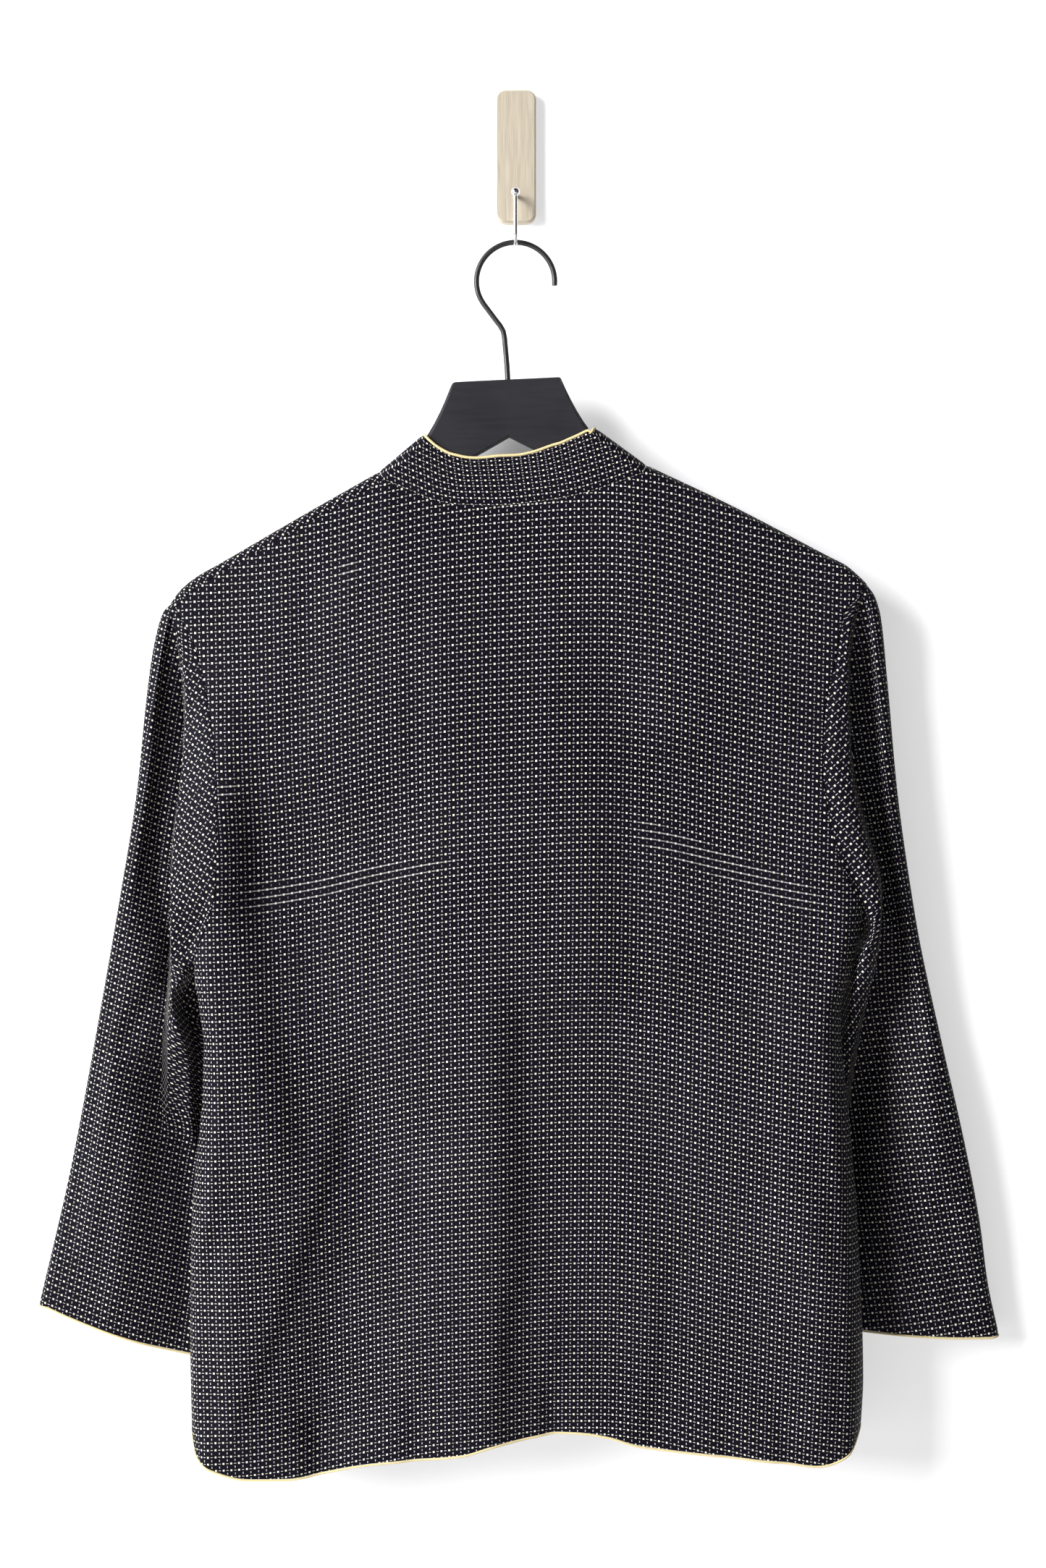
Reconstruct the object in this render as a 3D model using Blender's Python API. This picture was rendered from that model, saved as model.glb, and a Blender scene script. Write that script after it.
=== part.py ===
"""A silk jacket on a flat hanger, hung from a small wall hook with its back to the room.

Metres. +X is right and +Z is up for someone who looks at the jacket's back, and +Y points into the wall.
The origin is the centre of the wall plate's back face, where the plate meets the wall.
"""
import math
from collections import namedtuple

import bmesh
import bpy
import numpy as np
from mathutils import Vector

# Cloth
WALL = 0.0015                 # thickness of every cloth wall
SEAM_GAP = 0.0003             # clearance between two pieces that meet
HANG_Y = -0.0300              # the plane that the hanger hangs in
WRAP_HALF = 0.0085            # half the cloth's depth where it lies over the hanger
WRAP_DROP = 0.0075            # from the shoulder's ridge down to where the cloth hangs straight
COLLAR_WRAP_DROP = 0.0055     # the same at the collar's top edge
BACK_FALL = 0.0340            # how far the back swings out from the shoulders
BACK_FALL_LENGTH = 0.25
FRONT_FALL = 0.0055           # how far the fronts swing in from the wall
FRONT_FALL_LENGTH = 0.30
SIDE_ROUND = 0.0220           # width over which a panel turns round the side
SIDE_POWER = 0.72             # how full that turn is: 0.5 is round, 1 is flat
ARMHOLE_CLOSING = 0.80        # share of the armhole's height below which its two edges draw together
FRONT_EDGE_X = 0.0026         # the fronts meet edge to edge, this far from the middle
PIPING_RADIUS = 0.0010
EDGING_RADIUS = 0.00075

ROOM_POINT = (0.0, -0.055, -0.5)     # near the middle of the back, on the room's side
NORMAL_SOFTENING = 3          # rounds of averaging over neighbours, so that tight bends thicken evenly

# Grid of the cloth: columns across, rows up, and points round each sleeve
EDGE_COLUMNS = (0.0, 0.004, 0.014, 0.030, 0.055)     # shares of the back's width
SHOULDER_COLUMNS = 5
BACK_NECK_COLUMNS = 10
FRONT_NECK_COLUMNS = 6
SIDE_ROWS = 16
ARMHOLE_ROWS = 13
WRAP_STEPS = 6
SLEEVE_LOW_ROWS = 13          # rows of the sleeves below the underarm
SLEEVE_CROWDING = 1.4         # they lie closer together towards the underarm
SLEEVE_COLUMNS = (0.0, 0.04, 0.10, 0.19, 0.32, 0.48, 0.65, 0.82, 1.0)     # from the inner fold outwards
COLLAR_ROWS = 3
EDGING_SIDES = 6

# Hanger: a wide neck plate that flares into two arms, with an inverted V cut out of its lower edge
WOOD_HALF = 0.0060            # half its thickness
PLATE_TOP_Z = -0.1645
PLATE_HALF = 0.0380           # half the neck plate's width
FLARE_END = 0.0900            # from the middle to where the arms run straight
FLARE_DROP = 0.0650           # how far the top edge has dropped there
FLARE_START_SLOPE = 2.6
ARM_SLOPE = math.tan(math.radians(28.3))
ARM_REACH = 0.2220
ARM_DEPTH = 0.0220
NOTCH_DROP = 0.0385           # from the plate's top to the point of the V
NOTCH_ROUND = 0.0060          # the point is rounded over this half width
PLATE_CHAMFER = 0.0020
ARM_CHAMFER = 0.0046
LOW_CHAMFER = 0.0010
PLATE_STATIONS = (0.0, 0.003, 0.006, 0.016, 0.026, 0.0355, 0.038)
FLARE_STEPS = 10
ARM_STATIONS = (0.120, 0.160)
TIP_TURNS = (0, 25, 45, 62, 76, 84)
HANGER_TILT = math.radians(1.6)
HANGER_X = -0.0055            # where the wire enters the wood
WIRE_RADIUS = 0.0019
HOOK_CENTRE = (0.0, -0.0946)
HOOK_RADIUS = 0.0275
HOOK_TURNS = (-6, 217, 9)     # from the tip round to where the wire leaves the ring, in degrees

# Wall hook
PLATE_WIDTH = 0.0290
PLATE_HEIGHT = 0.0950
PLATE_DEPTH = 0.0070
PLATE_CORNER = 0.0070
PLATE_BEVEL = 0.0012
PEG_RADIUS = 0.0014
PEG_HALF_GAP = 0.0100         # half the width of the hook's bend
BALL_RADIUS = 0.0031
BALL_Z = -0.0340
BALL_TURNS = (-62, -40, -18, 5, 28, 52, 74)

Ridge = namedtuple("Ridge", "x z")
Edge = namedtuple("Edge", "z x")
Hem = namedtuple("Hem", "x z")
Inner = namedtuple("Inner", "z x y")
Wire = namedtuple("Wire", "x z")
Peg = namedtuple("Peg", "y z")
Section = namedtuple("Section", "share outer_y outer_half bulge room_inner wall_inner")
Fold = namedtuple("Fold", "top_x top_z low_x low_z width rise")

# The hanger's wire from its ring down to the wood
HOOK_ROUTE = (
    Wire(-0.0140, -0.1218), Wire(-0.0110, -0.1256), Wire(-0.0088, -0.1294), Wire(-0.0078, -0.1340),
    Wire(-0.0072, -0.1410), Wire(-0.0060, -0.1545), Wire(-0.0055, -0.1642),
)

# The wall hook's wire from the plate to the top of its bend
PEG_ROUTE = (
    Peg(-0.0073, -0.0290), Peg(-0.0110, -0.0292), Peg(-0.0150, -0.0304), Peg(-0.0182, -0.0334),
    Peg(-0.0200, -0.0380), Peg(-0.0200, -0.0480),
)

# Shoulder ridge from the neck out to the top of the armhole, as seen from the back
LEFT_RIDGE = (
    Ridge(-0.0959, -0.2286), Ridge(-0.1504, -0.2596), Ridge(-0.2070, -0.2926),
    Ridge(-0.2243, -0.3025), Ridge(-0.2355, -0.3116), Ridge(-0.2431, -0.3218),
)
RIGHT_RIDGE = (
    Ridge(0.0920, -0.2240), Ridge(0.1501, -0.2515), Ridge(0.2209, -0.2885),
    Ridge(0.2321, -0.2943), Ridge(0.2413, -0.3020), Ridge(0.2474, -0.3081),
)

# Armhole seam and side seam from the shoulder down to the hem
LEFT_EDGE = (
    Edge(-0.3270, -0.2370), Edge(-0.3553, -0.2232), Edge(-0.3916, -0.2141), Edge(-0.4295, -0.2080),
    Edge(-0.4750, -0.2063), Edge(-0.5193, -0.2068), Edge(-0.5420, -0.2120), Edge(-0.5765, -0.2245),
    Edge(-0.6293, -0.2200), Edge(-0.6677, -0.2222), Edge(-0.7400, -0.2262), Edge(-0.8250, -0.2268),
    Edge(-0.8985, -0.2232),
)
RIGHT_EDGE = (
    Edge(-0.3140, 0.2400), Edge(-0.3285, 0.2285), Edge(-0.3608, 0.2222), Edge(-0.4007, 0.2142),
    Edge(-0.4365, 0.2128), Edge(-0.4719, 0.2172), Edge(-0.5037, 0.2250), Edge(-0.5385, 0.2416),
    Edge(-0.5758, 0.2330), Edge(-0.6081, 0.2250), Edge(-0.6899, 0.2336), Edge(-0.7464, 0.2381),
    Edge(-0.8605, 0.2422), Edge(-0.8930, 0.2405),
)
LEFT_UNDERARM_Z = -0.5765
RIGHT_UNDERARM_Z = -0.5385

# Hem from the left side seam to the right one
HEM = (
    Hem(-0.2232, -0.8985), Hem(-0.2130, -0.9145), Hem(-0.1829, -0.9250), Hem(-0.1600, -0.9246),
    Hem(-0.1004, -0.9137), Hem(-0.0378, -0.9075), Hem(0.0288, -0.8934), Hem(0.0859, -0.9043),
    Hem(0.1481, -0.9117), Hem(0.2012, -0.9158), Hem(0.2300, -0.9050), Hem(0.2405, -0.8930),
)

# Neck seam across the back, and the collar's top edge above it
NECK_SEAM = (
    Hem(-0.0922, -0.2351), Hem(-0.0731, -0.2430), Hem(-0.0600, -0.2485), Hem(-0.0400, -0.2525),
    Hem(-0.0150, -0.2530), Hem(0.0222, -0.2495), Hem(0.0440, -0.2455), Hem(0.0650, -0.2392),
    Hem(0.0886, -0.2307),
)
COLLAR_TOP = (
    Hem(-0.0637, -0.2094), Hem(-0.0590, -0.2140), Hem(-0.0500, -0.2191), Hem(-0.0320, -0.2222),
    Hem(-0.0062, -0.2204), Hem(0.0151, -0.2179), Hem(0.0300, -0.2123), Hem(0.0430, -0.2070),
    Hem(0.0560, -0.2051),
)
LEFT_COLLAR_RIDGE = Ridge(-0.0672, -0.2052)
RIGHT_COLLAR_RIDGE = Ridge(0.0592, -0.2006)
FRONT_NECK_DEPTH = 0.0665     # from the shoulder down to the neck seam at the centre front
COLLAR_HEIGHT = 0.0330

# Outer fold of each sleeve from the armhole down to the cuff
LEFT_SLEEVE = (
    Edge(-0.3218, -0.2431), Edge(-0.3265, -0.2474), Edge(-0.3381, -0.2515), Edge(-0.3600, -0.2559),
    Edge(-0.3887, -0.2595), Edge(-0.4502, -0.2657), Edge(-0.5276, -0.2780), Edge(-0.6024, -0.2918),
    Edge(-0.7200, -0.3135), Edge(-0.8170, -0.3345),
)
RIGHT_SLEEVE = (
    Edge(-0.3081, 0.2474), Edge(-0.3172, 0.2530), Edge(-0.3318, 0.2571), Edge(-0.3723, 0.2617),
    Edge(-0.4548, 0.2692), Edge(-0.5450, 0.2827), Edge(-0.6296, 0.3012), Edge(-0.7577, 0.3285),
    Edge(-0.8013, 0.3345), Edge(-0.8382, 0.3425),
)

# Inner fold of each sleeve, from the underarm round behind the body to the cuff
LEFT_INNER = (
    Inner(-0.5765, -0.2245, -0.0425), Inner(-0.5850, -0.2325, -0.0400), Inner(-0.6000, -0.2335, -0.0358),
    Inner(-0.6150, -0.2305, -0.0308), Inner(-0.6320, -0.2248, -0.0250), Inner(-0.6540, -0.2205, -0.0185),
    Inner(-0.6780, -0.2150, -0.0146), Inner(-0.7150, -0.2060, -0.0141), Inner(-0.7700, -0.1955, -0.0140),
    Inner(-0.8607, -0.1845, -0.0140),
)
RIGHT_INNER = (
    Inner(-0.5385, 0.2416, -0.0425), Inner(-0.5470, 0.2480, -0.0400), Inner(-0.5560, 0.2450, -0.0375),
    Inner(-0.5676, 0.2392, -0.0343), Inner(-0.5936, 0.2300, -0.0250), Inner(-0.6176, 0.2245, -0.0185),
    Inner(-0.6426, 0.2205, -0.0146), Inner(-0.6800, 0.2150, -0.0141), Inner(-0.7350, 0.2075, -0.0140),
    Inner(-0.8297, 0.1975, -0.0140),
)

# Lie of the sleeves down their length, 0 at the shoulder, 1 at the underarm and 2 at the cuff:
# the outer fold's middle and half depth, and how deep the two sides lie at the inner fold
SLEEVE_SECTIONS = (
    Section(0.00, -0.0300, 0.0085, 0.0000, -0.0385, -0.0215),
    Section(0.40, -0.0290, 0.0085, 0.0010, -0.0460, -0.0225),
    Section(0.75, -0.0280, 0.0085, 0.0020, -0.0510, -0.0250),
    Section(0.90, -0.0270, 0.0085, 0.0025, -0.0502, -0.0290),
    Section(1.00, -0.0265, 0.0085, 0.0030, -0.0480, -0.0345),
    Section(1.10, -0.0255, 0.0085, 0.0040, -0.0430, -0.0255),
    Section(1.20, -0.0245, 0.0085, 0.0050, -0.0340, -0.0160),
    Section(1.34, -0.0230, 0.0085, 0.0060, -0.0226, -0.0065),
    Section(1.60, -0.0200, 0.0085, 0.0070, -0.0222, -0.0060),
    Section(2.00, -0.0165, 0.0085, 0.0060, -0.0222, -0.0060),
)
SLEEVE_BULGE_START = 0.32     # share of the width, from the inner fold, that stays behind the body
SLEEVE_NOSE = 0.16            # share of the width in which the inner fold closes
RIDGE_REACH = 0.75            # share of the width over which the sleeve drops back from the armhole
LEFT_CUFF_DROOP = 0.0046
RIGHT_CUFF_DROOP = 0.0020

# Largest folds of the back: a line from top to bottom, its width, and its rise towards the room
BACK_FOLDS = (
    Fold(-0.106, -0.647, -0.189, -0.876, 0.012, -0.0070),
    Fold(-0.041, -0.518, -0.156, -0.757, 0.015, 0.0045),
    Fold(-0.076, -0.607, -0.136, -0.857, 0.026, 0.0035),
    Fold(-0.002, -0.610, 0.012, -0.761, 0.014, -0.0055),
    Fold(0.012, -0.761, -0.014, -0.900, 0.013, -0.0060),
    Fold(-0.034, -0.560, -0.031, -0.880, 0.018, 0.0035),
    Fold(-0.191, -0.457, -0.159, -0.682, 0.026, -0.0065),
    Fold(-0.100, -0.301, -0.196, -0.445, 0.015, 0.0030),
    Fold(-0.054, -0.301, -0.067, -0.531, 0.015, 0.0030),
    Fold(0.064, -0.360, 0.044, -0.580, 0.030, -0.0045),
    Fold(-0.213, -0.690, -0.165, -0.741, 0.014, 0.0040),
    Fold(0.088, -0.800, 0.094, -0.905, 0.014, -0.0035),
    Fold(0.150, -0.640, 0.160, -0.880, 0.030, 0.0030),
)

# Folds of the fronts, rising towards the wall
FRONT_FOLDS = (
    Fold(-0.060, -0.340, -0.085, -0.700, 0.020, 0.0035),
    Fold(-0.120, -0.520, -0.110, -0.880, 0.018, 0.0030),
    Fold(-0.035, -0.600, -0.040, -0.900, 0.016, -0.0030),
    Fold(0.065, -0.340, 0.080, -0.660, 0.020, 0.0035),
    Fold(0.115, -0.560, 0.105, -0.880, 0.018, 0.0030),
    Fold(0.035, -0.560, 0.045, -0.900, 0.016, -0.0030),
)
FOLD_FADE = 0.22              # share of a fold's length over which each end dies out

Side = namedtuple("Side", "name sign ridge edge underarm_z sleeve inner collar_ridge cuff_droop seam_step")
LEFT = Side("left", -1, LEFT_RIDGE, LEFT_EDGE, LEFT_UNDERARM_Z, LEFT_SLEEVE, LEFT_INNER,
            LEFT_COLLAR_RIDGE, LEFT_CUFF_DROOP, WRAP_STEPS)
RIGHT = Side("right", 1, RIGHT_RIDGE, RIGHT_EDGE, RIGHT_UNDERARM_Z, RIGHT_SLEEVE, RIGHT_INNER,
             RIGHT_COLLAR_RIDGE, RIGHT_CUFF_DROOP, WRAP_STEPS - 2)


def through(rows, key, value, at):
    """Read one column of a table at any value of another, along a smooth curve that never overshoots."""
    rows = sorted(rows, key=lambda row: getattr(row, key))
    keys = np.array([getattr(row, key) for row in rows])
    values = np.array([getattr(row, value) for row in rows])
    step = np.diff(keys)
    rate = np.diff(values) / step
    slope = np.concatenate((rate[:1], np.zeros(len(rate) - 1), rate[-1:]))
    before, after = rate[:-1], rate[1:]
    same_way = before * after > 0
    slope[1:-1][same_way] = 2 * before[same_way] * after[same_way] / (before + after)[same_way]
    at = np.clip(np.asarray(at, dtype=float), keys[0], keys[-1])
    k = np.clip(np.searchsorted(keys, at) - 1, 0, len(step) - 1)
    t = (at - keys[k]) / step[k]
    return ((2 * t**3 - 3 * t**2 + 1) * values[k] + (t**3 - 2 * t**2 + t) * step[k] * slope[k]
            + (3 * t**2 - 2 * t**3) * values[k + 1] + (t**3 - t**2) * step[k] * slope[k + 1])


def mix(a, b, t):
    return a + (b - a) * t


def ease(t):
    t = np.clip(t, 0.0, 1.0)
    return t * t * (3 - 2 * t)


def rounded(t, power=0.5):
    """Curve from 0 with no slope at 0 up to 1: a quarter of an ellipse, or flatter at its end."""
    return 1 - (1 - np.clip(t, 0.0, 1.0) ** 2) ** power


def unit(vectors):
    return vectors / np.linalg.norm(vectors, axis=-1, keepdims=True)


def fold_rise(folds, x, z):
    """Sum of the folds at points x, z: each a soft ridge or trough along its line."""
    total = np.zeros(np.broadcast(x, z).shape)
    for fold in folds:
        run_x, run_z = fold.low_x - fold.top_x, fold.low_z - fold.top_z
        length = math.hypot(run_x, run_z)
        along = ((x - fold.top_x) * run_x + (z - fold.top_z) * run_z) / length**2
        across = ((x - fold.top_x) * run_z - (z - fold.top_z) * run_x) / length
        ends = ease(along / FOLD_FADE + 0.5) * ease((1 - along) / FOLD_FADE + 0.5)
        total += fold.rise * np.exp(-(across / fold.width) ** 2) * ends
    return total


def ridge_frame(side, x):
    """Point on the shoulder ridge at x, and the direction that points straight out of it."""
    nudge = 0.001
    z = through(side.ridge, "x", "z", x)
    slope = (through(side.ridge, "x", "z", x + nudge) - through(side.ridge, "x", "z", x - nudge))
    span = np.clip(x + nudge, *ridge_ends(side)) - np.clip(x - nudge, *ridge_ends(side))
    slope = slope / span
    out = unit(np.stack((-slope, np.ones_like(slope)), axis=-1))
    return np.stack((x, z), axis=-1), out


def ridge_ends(side):
    ends = [row.x for row in side.ridge]
    return min(ends), max(ends)


def wrap_points(ridge, out, drop, middle_y, half, turns):
    """Points over a fold: turn 0 lies on the room's side and turn pi on the wall's."""
    ridge, out = ridge[..., None, :], out[..., None, :]
    turns = np.asarray(turns)
    drop = np.asarray(drop)[..., None, None]
    flat = ridge - out * drop * (1 - np.sin(turns)[:, None])
    y = np.asarray(middle_y)[..., None] - np.asarray(half)[..., None] * np.cos(turns)
    return np.stack((flat[..., 0], np.broadcast_to(y, flat[..., 0].shape), flat[..., 1]), axis=-1)


def wrap_turns():
    """From the wall's side over to the room's side."""
    return np.linspace(math.pi, 0.0, WRAP_STEPS + 1)


def ridge_x(side, shares):
    """Places along the shoulder, as shares from the armhole to the neck."""
    return mix(side.ridge[-1].x, side.ridge[0].x, shares)


def shoulder_shares():
    """Columns from the armhole to the neck, close together near the armhole."""
    width = RIGHT.ridge[-1].x - LEFT.ridge[-1].x
    reach = abs(LEFT.ridge[-1].x - LEFT.ridge[0].x)
    near = np.array(EDGE_COLUMNS) * width / reach
    far = np.linspace(near[-1], 1.0, SHOULDER_COLUMNS + 1)[1:]
    return np.concatenate((near, far))


def row_shares(side, top_z, low_z):
    """Heights of the rows at a side, as shares from the hem to the top, with one at the underarm."""
    underarm = (side.underarm_z - low_z) / (top_z - low_z)
    lower = np.linspace(0.0, underarm, SIDE_ROWS + 1)
    crowd = (1 - np.cos(np.pi * np.arange(1, ARMHOLE_ROWS + 1) / ARMHOLE_ROWS)) / 2
    return np.concatenate((lower, underarm + (1 - underarm) * crowd))


def closing_share(side, z, top_z):
    """1 along the side seam, falling to 0 up the armhole, where back and front stand apart."""
    down = (top_z - z) / (top_z - side.underarm_z)
    return np.where(down >= 1.0, 1.0, rounded((down - ARMHOLE_CLOSING) / (1 - ARMHOLE_CLOSING)))


def flat_back_y(x, z, top_z):
    fall = BACK_FALL * (1 - np.exp(-np.maximum(top_z - z, 0.0) / BACK_FALL_LENGTH))
    return HANG_Y - WRAP_HALF - fall - fold_rise(BACK_FOLDS, x, z)


def flat_front_y(x, z, top_z):
    fall = FRONT_FALL * (1 - np.exp(-np.maximum(top_z - z, 0.0) / FRONT_FALL_LENGTH))
    return HANG_Y + WRAP_HALF - fall + fold_rise(FRONT_FOLDS, x, z)


def shoulder_base(side, shares):
    """Where the cloth leaves the hanger and hangs straight: x and z under each place on the ridge."""
    ridge, out = ridge_frame(side, ridge_x(side, shares))
    return ridge - out * WRAP_DROP


def side_depth(side, z, top_z):
    """Depth of the side seam: midway between back and front."""
    x = through(side.edge, "z", "x", z)
    return (flat_back_y(x, z, top_z) + flat_front_y(x, z, top_z)) / 2


def close_to_side(side, x, z, y, edge_x, edge_z, edge_top):
    """Turn a sheet round towards the side seam over the last stretch of its width."""
    near = 1 - np.abs(x - edge_x) / SIDE_ROUND
    depth = side_depth(side, edge_z, edge_top)
    return y + (depth - y) * closing_share(side, edge_z, edge_top) * rounded(near, SIDE_POWER)


def back_sheet():
    """Points of the back, columns from left to right and rows from hem to top."""
    shares = shoulder_shares()
    left, right = shoulder_base(LEFT, shares), shoulder_base(RIGHT, shares)
    neck_x = np.linspace(left[-1, 0], right[-1, 0], BACK_NECK_COLUMNS + 1)[1:-1]
    neck = np.stack((neck_x, through(NECK_SEAM, "x", "z", neck_x)), axis=-1)
    top = np.concatenate((left, neck, right[::-1]))
    across = (top[:, 0] - top[0, 0]) / (top[-1, 0] - top[0, 0])

    hem_left, hem_right = HEM[0], HEM[-1]
    low_z = through(HEM, "x", "z", mix(hem_left.x, hem_right.x, across))
    left_rows = row_shares(LEFT, top[0, 1], low_z[0])
    right_rows = row_shares(RIGHT, top[-1, 1], low_z[-1])
    rise = mix(left_rows[None, :], right_rows[None, :], across[:, None])
    z = mix(low_z[:, None], top[:, 1][:, None], rise)
    left_x = through(LEFT.edge, "z", "x", z[0])
    right_x = through(RIGHT.edge, "z", "x", z[-1])
    x = mix(left_x[None, :], right_x[None, :], across[:, None])
    x = x + (top[:, 0] - x[:, -1])[:, None] * rise**4
    y = flat_back_y(x, z, top[:, 1][:, None])
    y = close_to_side(LEFT, x, z, y, x[0], z[0], z[0, -1])
    y = close_to_side(RIGHT, x, z, y, x[-1], z[-1], z[-1, -1])
    return np.stack((x, y, z), axis=-1)


def front_sheet(side, back):
    """Points of one front, columns from the side seam to the centre front and rows from hem to top."""
    edge = back[0] if side is LEFT else back[-1]
    base = shoulder_base(side, shoulder_shares())
    centre_x = side.sign * FRONT_EDGE_X
    neck_x = mix(base[-1, 0], centre_x, np.linspace(0, 1, FRONT_NECK_COLUMNS + 1)[1:])
    neck_z = base[-1, 1] - FRONT_NECK_DEPTH * np.sqrt(np.clip(1 - (neck_x / base[-1, 0]) ** 2, 0, 1))
    top = np.concatenate((base, np.stack((neck_x, neck_z), axis=-1)))
    across = (top[:, 0] - top[0, 0]) / (top[-1, 0] - top[0, 0])

    edge_x, edge_z = edge[:, 0], edge[:, 2]
    low_z = through(HEM, "x", "z", mix(edge_x[0], centre_x, across))
    rise = (edge_z - edge_z[0]) / (edge_z[-1] - edge_z[0])
    z = mix(low_z[:, None], top[:, 1][:, None], rise[None, :])
    x = mix(edge_x[None, :], centre_x, across[:, None])
    x = x + (top[:, 0] - x[:, -1])[:, None] * rise[None, :] ** 4
    y = flat_front_y(x, z, top[:, 1][:, None])
    y = close_to_side(side, x, z, y, edge_x, edge_z, edge_z[-1])
    return np.stack((x, y, z), axis=-1)


def shoulder_wrap(side):
    """Points over the shoulder: columns from armhole to neck, steps from the wall's side to the room's."""
    ridge, out = ridge_frame(side, ridge_x(side, shoulder_shares()))
    return wrap_points(ridge, out, WRAP_DROP, HANG_Y, WRAP_HALF, wrap_turns())


def collar_side(side):
    """Top edge of the collar where it passes over the hanger at one side of the neck."""
    ridge = np.array(side.collar_ridge)
    rise, run = unit(ridge - np.array(side.ridge[0]))[::-1]
    out = np.array((side.sign * rise, -side.sign * run))
    return wrap_points(ridge[None], out[None], COLLAR_WRAP_DROP, HANG_Y, WRAP_HALF, wrap_turns())[0]


def collar_top_front(side, base):
    """Top edge of the collar above the front neck seam."""
    centre_x = side.sign * FRONT_EDGE_X
    start_x, _, start_z = collar_side(side)[0]
    seam_x, seam_z = shoulder_base(side, np.array([1.0]))[0]
    x = mix(centre_x, start_x, (base[:, 0] - centre_x) / (seam_x - centre_x))
    depth = start_z - (seam_z - FRONT_NECK_DEPTH + COLLAR_HEIGHT)
    z = start_z - depth * np.sqrt(np.clip(1 - (x / start_x) ** 2, 0, 1))
    return np.stack((x, np.full_like(x, HANG_Y + WRAP_HALF), z), axis=-1)


def collar_sheet(back, fronts, wraps):
    """Points of the collar from its seam to its top edge, round from centre front to centre front."""
    first, last = len(shoulder_shares()) - 1, back.shape[0] - len(shoulder_shares())
    left_front = fronts["left"][first + 1:, -1][::-1]
    right_front = fronts["right"][first + 1:, -1]
    back_neck = back[first + 1:last, -1]
    seam = np.concatenate((left_front, wraps["left"][-1], back_neck,
                           wraps["right"][-1][::-1], right_front))
    left_side, right_side = collar_side(LEFT), collar_side(RIGHT)[::-1]
    neck_left, neck_right = wraps["left"][-1, -1, 0], wraps["right"][-1, -1, 0]
    span = (back_neck[:, 0] - neck_left) / (neck_right - neck_left)
    top_x = mix(left_side[-1, 0], right_side[0, 0], span)
    top_z = through(COLLAR_TOP, "x", "z", top_x)
    back_top = np.stack((top_x, np.full_like(top_x, HANG_Y - WRAP_HALF), top_z), axis=-1)
    top = np.concatenate((collar_top_front(LEFT, left_front), left_side, back_top,
                          right_side, collar_top_front(RIGHT, right_front)))
    shares = np.linspace(0, 1, COLLAR_ROWS + 1)[:, None, None]
    return mix(seam[None], top[None], shares)


def outer_fold(side, z):
    """Point on the outer fold of a sleeve at each height, and the direction straight out of it."""
    nudge = 0.001
    change = through(side.sleeve, "z", "x", z + nudge) - through(side.sleeve, "z", "x", z - nudge)
    slope = change / (2 * nudge)
    out = unit(np.stack((np.full_like(slope, side.sign), -side.sign * slope), axis=-1))
    return np.stack((through(side.sleeve, "z", "x", z), z), axis=-1), out


def sleeve_sheet(side, back, front, wrap):
    """Points of a sleeve: rows from shoulder to cuff, each from the inner fold round the outer one and back.

    Above the underarm a row's two ends are the armhole seam, and below it they meet in the inner fold.
    """
    edge = back[0] if side is LEFT else back[-1]
    room_seam, wall_seam = edge[SIDE_ROWS:][::-1], front[0][SIDE_ROWS:][::-1]
    crowd = (np.arange(1, SLEEVE_LOW_ROWS + 1) / SLEEVE_LOW_ROWS) ** SLEEVE_CROWDING
    top_z, cuff_z = room_seam[0, 2], side.inner[-1].z
    low_z = mix(side.underarm_z, cuff_z, crowd)
    inner_z = np.concatenate((room_seam[:, 2], low_z))
    low_inner = np.stack([through(side.inner, "z", axis, low_z) for axis in ("x", "y")] + [low_z], axis=-1)
    room_end = np.concatenate((room_seam, low_inner))[:, None]
    wall_end = np.concatenate((wall_seam, low_inner))[:, None]

    share = (top_z - inner_z) / (top_z - cuff_z)
    outer_z = inner_z + (side.sleeve[-1].z - cuff_z) * share**2
    above = (top_z - inner_z) / (top_z - side.underarm_z)
    below = (side.underarm_z - inner_z) / (side.underarm_z - cuff_z)
    lie = np.where(inner_z >= side.underarm_z, above, 1 + below)
    section = {name: through(SLEEVE_SECTIONS, "share", name, lie)[:, None] for name in Section._fields}
    outer, out = outer_fold(side, outer_z)
    fold = wrap_points(outer, out, WRAP_DROP, section["outer_y"][:, 0], section["outer_half"][:, 0],
                       wrap_turns())
    room_start, wall_start = fold[:, -1][:, None], fold[:, 0][:, None]

    t = np.array(SLEEVE_COLUMNS)
    droop = side.cuff_droop * share[:, None] ** 2 * 4 * t * (1 - t)
    closed = ease(4 * lie - 3)[:, None]
    open_end = 1 - ease(t / RIDGE_REACH)
    closed_end = rounded(1 - t / SLEEVE_NOSE)
    end = mix(open_end, closed_end, closed)
    beyond = np.clip((t - SLEEVE_BULGE_START) / (1 - SLEEVE_BULGE_START), 0, 1)
    bulge = section["bulge"] * np.sin(np.pi * beyond)
    spread = ease(beyond)

    def half(start, finish, inner_y, forward):
        x = mix(finish[..., 0], start[..., 0], t)
        z = mix(finish[..., 2], start[..., 2], t) - droop
        y = mix(inner_y, start[..., 1], spread) - forward
        y = y + (finish[..., 1] - inner_y) * end
        return np.stack((x, y, z), axis=-1)

    room = half(room_start, room_end, section["room_inner"], bulge)
    wall = half(wall_start, wall_end, section["wall_inner"], 0.0)
    rows = np.concatenate((room, fold[:, ::-1][:, 1:-1], wall[:, ::-1]), axis=1)
    rows[:, 0], rows[:, -1] = room_end[:, 0], wall_end[:, 0]
    rows[0, :len(t)] = room_seam[0]
    rows[0, -len(t):] = wall_seam[0]
    rows[0, len(t) - 1:-len(t) + 1] = wrap[0][::-1]
    return rows


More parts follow.
